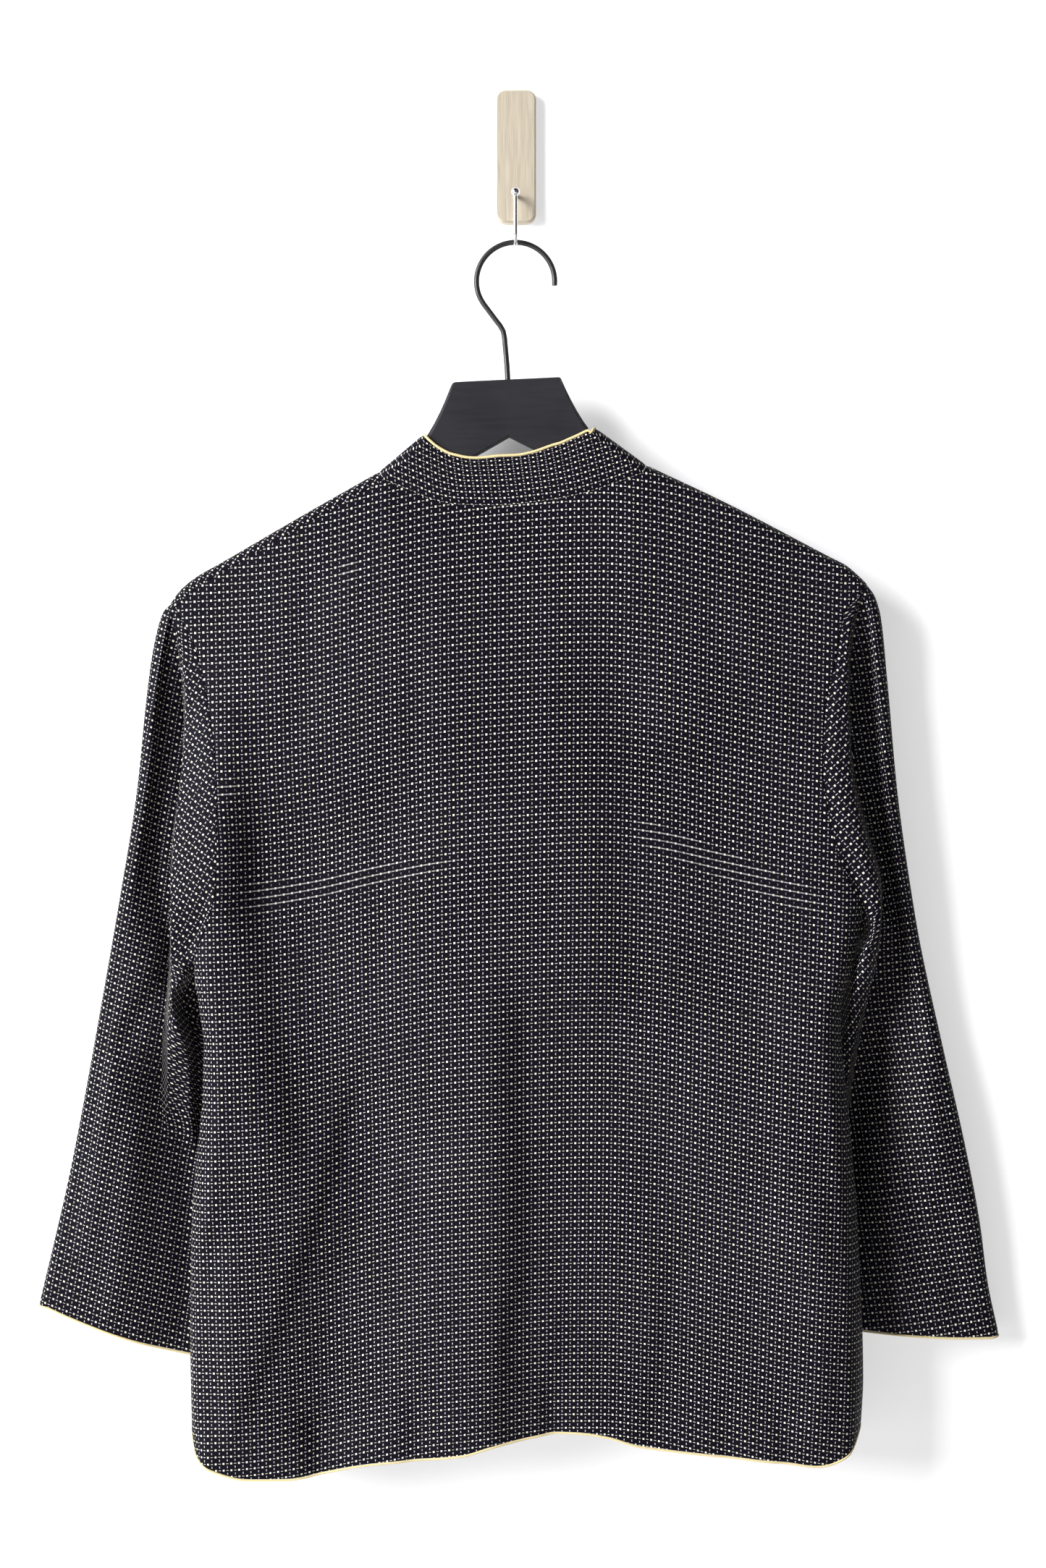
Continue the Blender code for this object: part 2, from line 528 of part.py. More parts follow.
class Cloth:
    """The whole garment as one surface of labelled cells, from which each piece is cut as a wall."""

    def __init__(self):
        self.points, self.index, self.cells, self.labels = [], {}, [], []

    def vertex(self, point):
        key = tuple(np.round(point, 7))
        if key not in self.index:
            self.index[key] = len(self.points)
            self.points.append(np.array(point, dtype=float))
        return self.index[key]

    def add(self, grid, label_of):
        """Add a grid of points; label_of says which piece the cell at (row, column) belongs to."""
        rows, columns = grid.shape[:2]
        ids = [[self.vertex(grid[r, c]) for c in range(columns)] for r in range(rows)]
        for r in range(rows - 1):
            for c in range(columns - 1):
                cell = [ids[r][c], ids[r][c + 1], ids[r + 1][c + 1], ids[r + 1][c]]
                cell = [v for k, v in enumerate(cell) if v not in cell[:k]]
                if len(cell) > 2:
                    self.cells.append(cell)
                    self.labels.append(label_of(r, c))

    def settle(self):
        """Face every cell outwards and find the outward direction at each point."""
        mesh = bmesh.new()
        verts = [mesh.verts.new(point) for point in self.points]
        mesh.verts.index_update()
        for cell in self.cells:
            mesh.faces.new([verts[v] for v in cell])
        faces = mesh.faces[:]
        bmesh.ops.recalc_face_normals(mesh, faces=faces)
        room = min(faces, key=lambda face: (face.calc_center_median() - Vector(ROOM_POINT)).length)
        if room.normal.y > 0:
            bmesh.ops.reverse_faces(mesh, faces=faces)
        self.cells = [[vert.index for vert in face.verts] for face in faces]
        self.normals = np.zeros((len(verts), 3))
        for face, cell in zip(faces, self.cells):
            self.normals[cell] += np.array(face.normal) * face.calc_area()
        self.normals = unit(self.normals)
        for _ in range(NORMAL_SOFTENING):
            sums = self.normals.copy()
            for cell in self.cells:
                sums[cell] += self.normals[cell].mean(axis=0)
            self.normals = unit(sums)
        mesh.free()

    def wall(self, label):
        """Points and faces of one piece: outer side, inner side and the edges between them."""
        cells = [cell for cell, name in zip(self.cells, self.labels) if name == label]
        used = sorted({v for cell in cells for v in cell})
        place = {v: k for k, v in enumerate(used)}
        borders = {}
        for cell in cells:
            for a, b in zip(cell, cell[1:] + cell[:1]):
                borders[(a, b)] = cell
        borders = {edge: cell for edge, cell in borders.items() if (edge[1], edge[0]) not in borders}
        shift = np.zeros((len(used), 3))
        for (a, b), cell in borders.items():
            run = unit(self.points[b] - self.points[a])
            centre = np.mean([self.points[v] for v in cell], axis=0)
            inward = centre - self.points[a]
            inward = unit(inward - run * np.dot(inward, run))
            for v in (a, b):
                shift[place[v]] += inward
        lengths = np.linalg.norm(shift, axis=1)
        pulled = lengths > 0
        shift[pulled] *= (SEAM_GAP / 2 * np.clip(2 / lengths[pulled], 1, 1.42) / lengths[pulled])[:, None]
        outer = np.array([self.points[v] for v in used]) + shift
        inner = outer - self.normals[used] * WALL
        count = len(used)
        thirds = [third for cell in cells for third in self.halves(cell)]
        faces = [[place[v] for v in third] for third in thirds]
        faces += [[place[v] + count for v in reversed(third)] for third in thirds]
        faces += [[place[b], place[a], place[a] + count, place[b] + count] for a, b in borders]
        return np.concatenate((outer, inner)), faces

    def halves(self, cell):
        """Split a cell along its shorter diagonal, so that both sides of a wall bend alike."""
        if len(cell) == 3:
            return [cell]
        a, b, c, d = cell
        across = np.linalg.norm(self.points[a] - self.points[c])
        other = np.linalg.norm(self.points[b] - self.points[d])
        return [[a, b, c], [a, c, d]] if across <= other else [[a, b, d], [b, c, d]]

    def normal_at(self, point):
        return self.normals[self.index[tuple(np.round(point, 7))]]


def finish(name, colour, roughness, metallic=0.0):
    """Plain material of one piece."""
    material = bpy.data.materials.new(name)
    material.use_nodes = True
    shader = material.node_tree.nodes["Principled BSDF"]
    shader.inputs["Base Color"].default_value = (*colour, 1.0)
    shader.inputs["Roughness"].default_value = roughness
    shader.inputs["Metallic"].default_value = metallic
    material.diffuse_color = (*colour, 1.0)
    return material


def solid(name, points, faces, material, sharp=40.0):
    """Make one named object from points and faces."""
    mesh = bpy.data.meshes.new(name)
    mesh.from_pydata([tuple(point) for point in points], [], faces)
    mesh.materials.append(material)
    mesh.shade_smooth()
    mesh.set_sharp_from_angle(angle=math.radians(sharp))
    obj = bpy.data.objects.new(name, mesh)
    bpy.context.collection.objects.link(obj)
    return obj


def skin(name, rings, material, closed=False, sharp=40.0):
    """A solid through rings of points, capped at both ends or joined end to end."""
    count = len(rings[0])
    points = [point for ring in rings for point in ring]
    faces = []
    last = len(rings) if closed else len(rings) - 1
    for r in range(last):
        here, there = r * count, (r + 1) % len(rings) * count
        for c in range(count):
            n = (c + 1) % count
            faces.append([here + c, here + n, there + n, there + c])
    if not closed:
        faces.append(list(range(count))[::-1])
        faces.append([(len(rings) - 1) * count + c for c in range(count)])
    obj = solid(name, points, faces, material, sharp)
    mesh = bmesh.new()
    mesh.from_mesh(obj.data)
    bmesh.ops.recalc_face_normals(mesh, faces=mesh.faces[:])
    mesh.to_mesh(obj.data)
    mesh.free()
    return obj


def tube(name, path, radii, up, material, sides=8, closed=False):
    """A round tube along a path; up gives a direction across the path at each of its points."""
    path = np.asarray(path, dtype=float)
    if closed:
        run = np.roll(path, -1, axis=0) - np.roll(path, 1, axis=0)
    else:
        run = np.gradient(path, axis=0)
    run = unit(run)
    up = np.broadcast_to(np.asarray(up, dtype=float), path.shape)
    across = unit(up - run * np.sum(up * run, axis=1, keepdims=True))
    other = np.cross(run, across)
    radii = np.broadcast_to(np.asarray(radii, dtype=float), (len(path),))
    turns = np.arange(sides) * 2 * math.pi / sides
    round_it = (np.cos(turns)[None, :, None] * across[:, None]
                + np.sin(turns)[None, :, None] * other[:, None])
    rings = path[:, None] + radii[:, None, None] * round_it
    return skin(name, rings, material, closed, sharp=60.0)


def edge_path(cloth, edge, inside, radius, corners=()):
    """Centre line of a strip laid along a free edge, clear of the wall by the seam gap."""
    out = unit(np.asarray(edge) - np.asarray(inside))
    reach = np.full(len(edge), radius + SEAM_GAP)
    for corner in corners:
        reach[corner] *= math.sqrt(2)
    normals = np.array([cloth.normal_at(point) for point in edge])
    return np.asarray(edge) + out * reach[:, None] - normals * WALL / 2, normals


def build_garment():
    back = back_sheet()
    fronts = {side.name: front_sheet(side, back) for side in (LEFT, RIGHT)}
    wraps = {side.name: shoulder_wrap(side) for side in (LEFT, RIGHT)}
    for side in (LEFT, RIGHT):
        column = slice(0, len(shoulder_shares()))
        front = fronts[side.name]
        front[column, -1] = wraps[side.name][:, 0]
        if side is LEFT:
            back[column, -1] = wraps["left"][:, -1]
        else:
            back[back.shape[0] - len(shoulder_shares()):, -1] = wraps["right"][::-1, -1]
    collar = collar_sheet(back, fronts, wraps)
    sleeves = {side.name: sleeve_sheet(side, back, fronts[side.name], wraps[side.name])
               for side in (LEFT, RIGHT)}

    cloth = Cloth()
    cloth.add(back, lambda r, c: "back")
    cloth.add(collar, lambda r, c: "collar")
    for side in (LEFT, RIGHT):
        front_name, sleeve_name = "front_" + side.name, "sleeve_" + side.name
        cloth.add(fronts[side.name], lambda r, c, name=front_name: name)
        cloth.add(wraps[side.name],
                  lambda r, c, name=front_name, seam=side.seam_step: name if c < seam else "back")
        cloth.add(sleeves[side.name], lambda r, c, name=sleeve_name: name)
    cloth.settle()

    silk = finish("silk", (0.030, 0.028, 0.038), 0.55)
    cream = finish("cream", (0.80, 0.74, 0.52), 0.60)
    for label in ("back", "front_left", "front_right", "sleeve_left", "sleeve_right", "collar"):
        points, faces = cloth.wall(label)
        solid(label, points, faces, silk)

    edge = np.concatenate((collar[:-1, 0], collar[-1], collar[:-1, -1][::-1]))
    inside = np.concatenate((collar[:-1, 1], collar[-2, 1][None], collar[-2, 1:-1],
                             collar[-2, -2][None], collar[:-1, -2][::-1]))
    corners = (COLLAR_ROWS, len(edge) - 1 - COLLAR_ROWS)
    path, up = edge_path(cloth, edge, inside, PIPING_RADIUS, corners)
    tube("collar_piping", path, PIPING_RADIUS, up, cream, EDGING_SIDES)

    left, right = fronts["left"], fronts["right"]
    edge = np.concatenate((left[-1, :0:-1], left[:0:-1, 0], back[:, 0], right[1:, 0], right[-1, 1:]))
    inside = np.concatenate((left[-2, :0:-1], left[-2, 1][None], left[-2:0:-1, 1], back[:, 1],
                             right[1:-1, 1], right[-2, 1][None], right[-2, 1:]))
    first_corner = left.shape[1] - 1
    corners = (first_corner, len(edge) - 1 - first_corner)
    path, up = edge_path(cloth, edge, inside, EDGING_RADIUS, corners)
    path[0] += unit(path[1] - path[0]) * EDGING_RADIUS
    path[-1] += unit(path[-2] - path[-1]) * EDGING_RADIUS
    tube("hem_edging", path, EDGING_RADIUS, up, cream, EDGING_SIDES)

    for side in (LEFT, RIGHT):
        rows = sleeves[side.name][:, :-1]
        path, up = edge_path(cloth, rows[-1], rows[-2], EDGING_RADIUS)
        tube("cuff_edging_" + side.name, path, EDGING_RADIUS, up, cream, EDGING_SIDES, closed=True)


def hanger_top(u):
    """How far the hanger's top edge lies below the plate's top, at distance u from the middle."""
    if u <= PLATE_HALF:
        return 0.0
    if u >= FLARE_END:
        return FLARE_DROP + (u - FLARE_END) * ARM_SLOPE
    width = FLARE_END - PLATE_HALF
    t = (u - PLATE_HALF) / width
    return ((t**3 - 2 * t**2 + t) * FLARE_START_SLOPE * width + (3 * t**2 - 2 * t**3) * FLARE_DROP
            + (t**3 - t**2) * ARM_SLOPE * width)


def hanger_section(u, sign, tip):
    """Cut through the hanger at distance u from the middle, with its upper edges bevelled."""
    top = hanger_top(u)
    low = NOTCH_DROP + u * ARM_SLOPE
    if u < NOTCH_ROUND:
        low = NOTCH_DROP + (NOTCH_ROUND + u * u / NOTCH_ROUND) / 2 * ARM_SLOPE
    if u > tip:
        middle = (top + low) / 2
        half = (low - top) / 2 * math.sqrt(max(0.0, 1 - ((u - tip) / (ARM_REACH - tip)) ** 2))
        top, low = middle - half, middle + half
    bevel = mix(PLATE_CHAMFER, ARM_CHAMFER, float(ease((u - PLATE_HALF) / (FLARE_END - PLATE_HALF) * 2)))
    bevel = min(bevel, (low - top) * 0.4)
    small = min(LOW_CHAMFER, (low - top) * 0.2)
    y = WOOD_HALF
    ring = ((-y + bevel, top), (y - bevel, top), (y, top + bevel), (y, low - small),
            (y - small, low), (-y + small, low), (-y, low - small), (-y, top + bevel))
    return [(sign * u, depth, -drop) for depth, drop in ring]


def build_hanger():
    """Flat wooden hanger with a wide neck plate, and its wire hook."""
    black = finish("hanger_black", (0.012, 0.012, 0.012), 0.50)
    wire = finish("hanger_wire", (0.015, 0.015, 0.015), 0.35, 0.6)

    tip = ARM_REACH - ARM_DEPTH / 2
    flare = np.linspace(PLATE_HALF, FLARE_END, FLARE_STEPS + 1)[1:]
    ends = [tip + (ARM_REACH - tip) * math.sin(math.radians(turn)) for turn in TIP_TURNS]
    stations = [*PLATE_STATIONS, *flare, *ARM_STATIONS, *ends]
    rings = [hanger_section(u, -1, tip) for u in reversed(stations)]
    rings += [hanger_section(u, 1, tip) for u in stations[1:]]
    cos, sin = math.cos(HANGER_TILT), math.sin(HANGER_TILT)
    placed = [[(HANGER_X + x * cos - z * sin, HANG_Y + y, PLATE_TOP_Z + x * sin + z * cos)
               for x, y, z in ring] for ring in rings]
    skin("hanger_body", placed, black, sharp=35.0)

    centre_x, centre_z = HOOK_CENTRE
    turns = np.radians(np.arange(*HOOK_TURNS))
    route = [(centre_x + HOOK_RADIUS * math.cos(t), HANG_Y, centre_z + HOOK_RADIUS * math.sin(t))
             for t in turns]
    route += [(point.x, HANG_Y, point.z) for point in HOOK_ROUTE]
    radii = [WIRE_RADIUS] * len(route)
    radii[0] = WIRE_RADIUS * 0.7
    tube("hanger_hook", route, radii, (0, 1, 0), wire)


def build_wall_hook():
    """Rounded plate on the wall, and a wire hook with a ball end standing out of it."""
    nickel = finish("brushed_nickel", (0.52, 0.49, 0.46), 0.40, 1.0)
    chrome = finish("chrome", (0.70, 0.70, 0.70), 0.12, 1.0)

    def outline(inset, y):
        half_x, half_z = PLATE_WIDTH / 2 - inset, PLATE_HEIGHT / 2 - inset
        radius = PLATE_CORNER - inset
        ring = []
        for quarter, (sx, sz) in enumerate(((1, 1), (-1, 1), (-1, -1), (1, -1))):
            for k in range(6):
                turn = math.radians(quarter * 90 + k * 18)
                ring.append((sx * (half_x - radius) + radius * math.cos(turn), y,
                             sz * (half_z - radius) + radius * math.sin(turn)))
        return ring

    skin("wall_plate", [outline(0, 0.0), outline(0, PLATE_BEVEL - PLATE_DEPTH),
                        outline(PLATE_BEVEL, -PLATE_DEPTH)], nickel, sharp=30.0)

    seat_z = HOOK_CENTRE[1] + HOOK_RADIUS - WIRE_RADIUS - SEAM_GAP - PEG_RADIUS
    turn_z = seat_z + PEG_HALF_GAP
    front_y = HANG_Y - PEG_HALF_GAP
    path = [(0, point.y, point.z) for point in PEG_ROUTE]
    path += [(0, HANG_Y + PEG_HALF_GAP * math.cos(t), turn_z - PEG_HALF_GAP * math.sin(t))
             for t in np.radians(np.arange(0, 181, 20))]
    path += [(0, front_y, PEG_ROUTE[-1].z), (0, front_y, BALL_Z - BALL_RADIUS - 0.0010)]
    radii = [PEG_RADIUS] * len(path)
    for angle in np.radians(BALL_TURNS):
        path.append((0, front_y, BALL_Z + BALL_RADIUS * math.sin(angle)))
        radii.append(BALL_RADIUS * math.cos(angle))
    tube("wall_hook", path, radii, (1, 0, 0), chrome, sides=10)


def clear_scene():
    for obj in list(bpy.data.objects):
        bpy.data.objects.remove(obj, do_unlink=True)


clear_scene()
build_garment()
build_hanger()
build_wall_hook()
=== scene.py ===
"""Dressed model of a silk jacket on a flat hanger, hung from a small wall hook with its back to the room.

The cloth follows the same sizes as the solids, on a finer grid, with its creases, woven repeat and wear.
Metres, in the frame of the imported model: +X right and +Z up for the photograph, +Y into the wall.
"""
import math
from collections import namedtuple

import bmesh
import bpy
import numpy as np
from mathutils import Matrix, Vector


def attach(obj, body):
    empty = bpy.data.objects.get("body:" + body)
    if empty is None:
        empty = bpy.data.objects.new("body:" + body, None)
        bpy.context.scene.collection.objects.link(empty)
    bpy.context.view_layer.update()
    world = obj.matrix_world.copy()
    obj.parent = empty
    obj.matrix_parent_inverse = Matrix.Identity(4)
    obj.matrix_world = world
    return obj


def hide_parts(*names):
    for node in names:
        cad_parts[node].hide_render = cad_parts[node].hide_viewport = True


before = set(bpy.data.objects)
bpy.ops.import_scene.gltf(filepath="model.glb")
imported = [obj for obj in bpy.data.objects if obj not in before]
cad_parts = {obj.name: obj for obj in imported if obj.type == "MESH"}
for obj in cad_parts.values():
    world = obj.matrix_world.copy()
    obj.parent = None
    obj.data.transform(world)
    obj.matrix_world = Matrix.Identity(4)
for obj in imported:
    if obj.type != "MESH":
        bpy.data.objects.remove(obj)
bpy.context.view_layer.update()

# Cloth
CLOTH = 0.0012                # thickness of the walls that show
SEAM_GAP = 0.0003
SEAM_DIP = 0.0004             # how far each edge is drawn in at a seam
HANG_Y = -0.0300              # the plane that the hanger hangs in
WRAP_HALF = 0.0085            # half the cloth's depth where it lies over the hanger
WRAP_DROP = 0.0075            # from the shoulder's ridge down to where the cloth hangs straight
COLLAR_WRAP_DROP = 0.0055     # the same at the collar's top edge
BACK_FALL = 0.0340            # how far the back swings out from the shoulders
BACK_FALL_LENGTH = 0.25
FRONT_FALL = 0.0055           # how far the fronts swing in from the wall
FRONT_FALL_LENGTH = 0.30
SIDE_ROUND = 0.0160           # width over which a panel turns round the side
SIDE_POWER = 0.72             # how full that turn is: 0.5 is round, 1 is flat
ARMHOLE_CLOSING = 0.80        # share of the armhole's height below which its two edges draw together
FRONT_EDGE_X = 0.0026
PIPING_RADIUS = 0.0010
EDGING_RADIUS = 0.00075
NORMAL_SOFTENING = 8          # rounds of averaging over neighbours, so that tight bends thicken evenly
SAME_POINT = 1e7              # points are one if they agree when multiplied by this and rounded
MITRE_LIMIT = 1.42            # most that a corner of a piece is drawn in, against its edges
TOP_FIT_POWER = 4             # how late up a panel its columns lean over to fit the shoulder
NUDGE = 0.001                 # step for slopes along a curve

# Grid of the cloth, with cells of about 3 mm
EDGE_SHARE = 0.055            # share of the back's width with closer columns
EDGE_COLUMNS = 14
SHOULDER_COLUMNS = 38
BACK_NECK_COLUMNS = 60
FRONT_NECK_COLUMNS = 32
SIDE_ROWS = 108
ARMHOLE_ROWS = 84
WRAP_STEPS = 12
SLEEVE_LOW_ROWS = 96
SLEEVE_CROWDING = 1.2         # rows of the sleeves lie closer together towards the underarm
SLEEVE_COLUMNS = np.linspace(0.0, 1.0, 44) ** 1.35
COLLAR_ROWS = 14
EDGING_SIDES = 10

# Hanger: a wide neck plate that flares into two arms, with an inverted V cut out of its lower edge
WOOD_HALF = 0.0060            # half its thickness
PLATE_TOP_Z = -0.1645
PLATE_HALF = 0.0382           # half the neck plate's width
PLATE_SET_OVER = 0.0010       # how far the plate sits to the left of the wire
PLATE_LEAN = 0.018            # how much more its top edge tilts than its arms
FLARE_END = 0.0900            # from the middle to where the arms run straight
FLARE_DROP = 0.0650           # how far the top edge has dropped there
FLARE_START_SLOPE = 2.6
ARM_SLOPE = math.tan(math.radians(28.3))
ARM_REACH = 0.2220
ARM_DEPTH = 0.0220
NOTCH_DROP = 0.0394           # from the plate's top to the point of the V
LEFT_CORNER, RIGHT_CORNER = 0.0011, 0.0004    # how far each upper corner is rounded off
PLATE_CHAMFER = 0.0008
ARM_CHAMFER = 0.0046
LOW_CHAMFER = 0.0005
HANGER_STATIONS = (                           # from the middle out to where the end rounds off
    0.001, 0.008, 0.018, 0.026, 0.030, 0.032, 0.0335, 0.0345, 0.0355, 0.0362, 0.0369, 0.0376, 0.0383, 0.0390,
    0.0397, 0.0405, 0.0415, 0.0430, 0.0450, 0.0480, 0.0520, 0.0565, 0.0610, 0.0655, 0.0700, 0.0745, 0.0790,
    0.0845, 0.0900, 0.120, 0.160)
TIP_TURNS = (0, 15, 30, 45, 58, 70, 80, 86)   # round the end of an arm, in degrees
HANGER_TILT = math.radians(1.6)
HANGER_X = -0.0055            # where the wire enters the wood

# Hanger's wire and wall hook
WIRE_RADIUS = 0.0019
HOOK_CENTRE = (0.0, -0.0946)
HOOK_RADIUS = 0.0275
HOOK_TURNS = (-6, 217, 3)     # from the tip round to where the wire leaves the ring, in degrees
PEG_RADIUS = 0.0014
PEG_HALF_GAP = 0.0100         # half the width of the wall hook's bend
BALL_RADIUS = 0.0031
BALL_Z = -0.0340

Point = namedtuple("Point", "x z")
Edge = namedtuple("Edge", "z x")
Inner = namedtuple("Inner", "z x y")
Valley = namedtuple("Valley", "z x depth raised step")
Peg = namedtuple("Peg", "y z")
Section = namedtuple("Section", "share outer_y outer_half bulge room_inner wall_inner")
Crease = namedtuple("Crease", "top_x top_z low_x low_z bow left right rise")
Droop = namedtuple("Droop", "x down")
Side = namedtuple("Side", "name sign ridge edge underarm_z sleeve inner nose valley collar_ridge valley_reach"
                  " fold_back cuff_droop seam_step repeat raised_repeat")


def table(kind, *rows):
    """Rows of a table, with the names of their columns."""
    return tuple(kind(*row) for row in rows)


# The hanger's wire from its ring down to the wood
HOOK_ROUTE = table(Point,
    (-0.014, -0.1218), (-0.011, -0.1256), (-0.0088, -0.1294), (-0.0078, -0.134), (-0.0072, -0.141),
    (-0.006, -0.1545), (-0.0055, -0.1642))

# The wall hook's wire from the plate to the top of its bend
PEG_ROUTE = table(Peg,
    (-0.0073, -0.029), (-0.011, -0.0292), (-0.015, -0.0304), (-0.0182, -0.0334), (-0.02, -0.038),
    (-0.02, -0.048))

# Shoulder ridge from the neck out to the top of the armhole, as seen from the back
LEFT_RIDGE = table(Point,
    (-0.0959, -0.2286), (-0.1504, -0.2596), (-0.207, -0.2926), (-0.2243, -0.3025), (-0.2355, -0.3116),
    (-0.2431, -0.3218))
RIGHT_RIDGE = table(Point,
    (0.092, -0.224), (0.1501, -0.2515), (0.2209, -0.2885), (0.2321, -0.2943), (0.2413, -0.302),
    (0.2474, -0.3081))

# Armhole seam and side seam from the shoulder down to the hem
LEFT_EDGE = table(Edge,
    (-0.327, -0.237), (-0.3553, -0.2232), (-0.3916, -0.2141), (-0.4295, -0.208), (-0.475, -0.2063),
    (-0.5193, -0.2068), (-0.542, -0.212), (-0.5765, -0.2245), (-0.6017, -0.2215), (-0.6317, -0.2178),
    (-0.66, -0.2182), (-0.6917, -0.2208), (-0.74, -0.2252), (-0.825, -0.2268), (-0.8985, -0.2255))
RIGHT_EDGE = table(Edge,
    (-0.314, 0.24), (-0.3285, 0.2285), (-0.3608, 0.2222), (-0.4007, 0.2142), (-0.4365, 0.2128),
    (-0.4719, 0.2172), (-0.5037, 0.225), (-0.5385, 0.2416), (-0.5758, 0.235), (-0.6081, 0.227),
    (-0.6899, 0.2336), (-0.7464, 0.2381), (-0.8605, 0.2422), (-0.893, 0.2405))

# Hem from the left side seam to the right one
HEM = table(Point,
    (-0.2255, -0.8985), (-0.2215, -0.911), (-0.212, -0.9188), (-0.1829, -0.9262), (-0.16, -0.926),
    (-0.1004, -0.916), (-0.0378, -0.91), (-0.016, -0.904), (0.013, -0.899), (0.0288, -0.897),
    (0.044, -0.8972), (0.064, -0.8998), (0.0859, -0.9055), (0.1481, -0.9117), (0.184, -0.915),
    (0.208, -0.9172), (0.229, -0.91), (0.2405, -0.893))

# Neck seam across the back, and the collar's top edge above it, measured in the photograph every 6 mm
NECK_SEAM = table(Point,
    (-0.0922, -0.2351), (-0.0731, -0.243), (-0.06, -0.2485), (-0.04, -0.2525), (-0.015, -0.253),
    (0.0222, -0.2495), (0.044, -0.2455), (0.065, -0.2392), (0.0886, -0.2307))
COLLAR_TOP = table(Point,
    (-0.0634, -0.2056), (-0.0569, -0.2117), (-0.052, -0.2148), (-0.0467, -0.2175), (-0.0407, -0.2191),
    (-0.0346, -0.2204), (-0.0285, -0.2208), (-0.0224, -0.2205), (-0.0163, -0.2198), (-0.0103, -0.2193),
    (-0.0042, -0.2191), (0.0019, -0.2188), (0.008, -0.2177), (0.0141, -0.2162), (0.0201, -0.2141),
    (0.0262, -0.2119), (0.0323, -0.2101), (0.0384, -0.2074), (0.0445, -0.2047), (0.0506, -0.2016),
    (0.0546, -0.1997))
FRONT_NECK_DEPTH = 0.0665     # from the shoulder down to the neck seam at the centre front
COLLAR_HEIGHT = 0.0330

# Outer fold of each sleeve from the armhole down to the cuff
LEFT_SLEEVE = table(Edge,
    (-0.3218, -0.2431), (-0.3265, -0.2474), (-0.3381, -0.2515), (-0.36, -0.2559), (-0.3887, -0.2595),
    (-0.4502, -0.2657), (-0.5276, -0.278), (-0.6024, -0.2918), (-0.72, -0.3148), (-0.817, -0.3378))
RIGHT_SLEEVE = table(Edge,
    (-0.3081, 0.2474), (-0.3172, 0.253), (-0.3318, 0.2571), (-0.3723, 0.2617), (-0.4548, 0.2692),
    (-0.545, 0.2827), (-0.6296, 0.3012), (-0.7577, 0.3285), (-0.8013, 0.3345), (-0.8382, 0.3425))

# Inner end of each sleeve below the underarm: it tucks in round the side, behind the body
LEFT_INNER = table(Inner,
    (-0.5765, -0.2245, -0.0425), (-0.58, -0.225, -0.0385), (-0.585, -0.2255, -0.0325),
    (-0.59, -0.2258, -0.027), (-0.596, -0.225, -0.022), (-0.603, -0.2215, -0.0185),
    (-0.612, -0.2165, -0.0165), (-0.63, -0.213, -0.015), (-0.678, -0.2095, -0.0142),
    (-0.715, -0.205, -0.0141), (-0.77, -0.1955, -0.014), (-0.8607, -0.1845, -0.014))
RIGHT_INNER = table(Inner,
    (-0.5385, 0.2416, -0.0425), (-0.542, 0.2425, -0.0385), (-0.5465, 0.242, -0.0325),
    (-0.551, 0.2405, -0.027), (-0.5565, 0.237, -0.022), (-0.563, 0.2315, -0.0185), (-0.572, 0.2265, -0.0165),
    (-0.59, 0.2215, -0.015), (-0.6426, 0.216, -0.0142), (-0.68, 0.212, -0.0141), (-0.735, 0.206, -0.014),
    (-0.8297, 0.1975, -0.014))

# Where the sleeve's inner fold shows beside the body, below the underarm
LEFT_NOSE = table(Edge,
    (-0.5765, -0.2245), (-0.583, -0.2262), (-0.59, -0.23), (-0.598, -0.2345), (-0.608, -0.2345),
    (-0.619, -0.231), (-0.63, -0.2275), (-0.645, -0.2252), (-0.67, -0.2245), (-0.6917, -0.2235),
    (-0.715, -0.219), (-0.77, -0.205), (-0.8607, -0.19))
RIGHT_NOSE = table(Edge,
    (-0.5385, 0.2416), (-0.543, 0.244), (-0.549, 0.2445), (-0.555, 0.2425), (-0.561, 0.238),
    (-0.5717, 0.233), (-0.59, 0.2298), (-0.605, 0.2285), (-0.6167, 0.2278), (-0.63, 0.2262),
    (-0.6426, 0.223), (-0.68, 0.217), (-0.735, 0.21), (-0.8297, 0.2))

# Long valley down each sleeve, beside the raised cloth next to the armhole: its line and depth, how far
# the cloth beside it stands out, and the width of its side next to the armhole
LEFT_VALLEY = table(Valley,
    (-0.325, -0.24, 0, 0, 0.0048), (-0.35, -0.2375, 0.005, 0, 0.0048), (-0.385, -0.2345, 0.015, 0, 0.0048),
    (-0.4067, -0.2338, 0.019, 0, 0.0042), (-0.4397, -0.2358, 0.0205, 0, 0.0038),
    (-0.4872, -0.2412, 0.0235, 0, 0.0036), (-0.5212, -0.2428, 0.026, 0, 0.0034),
    (-0.5502, -0.243, 0.0245, 0, 0.0036), (-0.5862, -0.2448, 0.015, 0.0015, 0.0055),
    (-0.61, -0.2465, 0.0105, 0.001, 0.008), (-0.635, -0.2485, 0.006, 0, 0.012),
    (-0.67, -0.25, 0.0025, 0, 0.014), (-0.7, -0.25, 0, 0, 0.014))
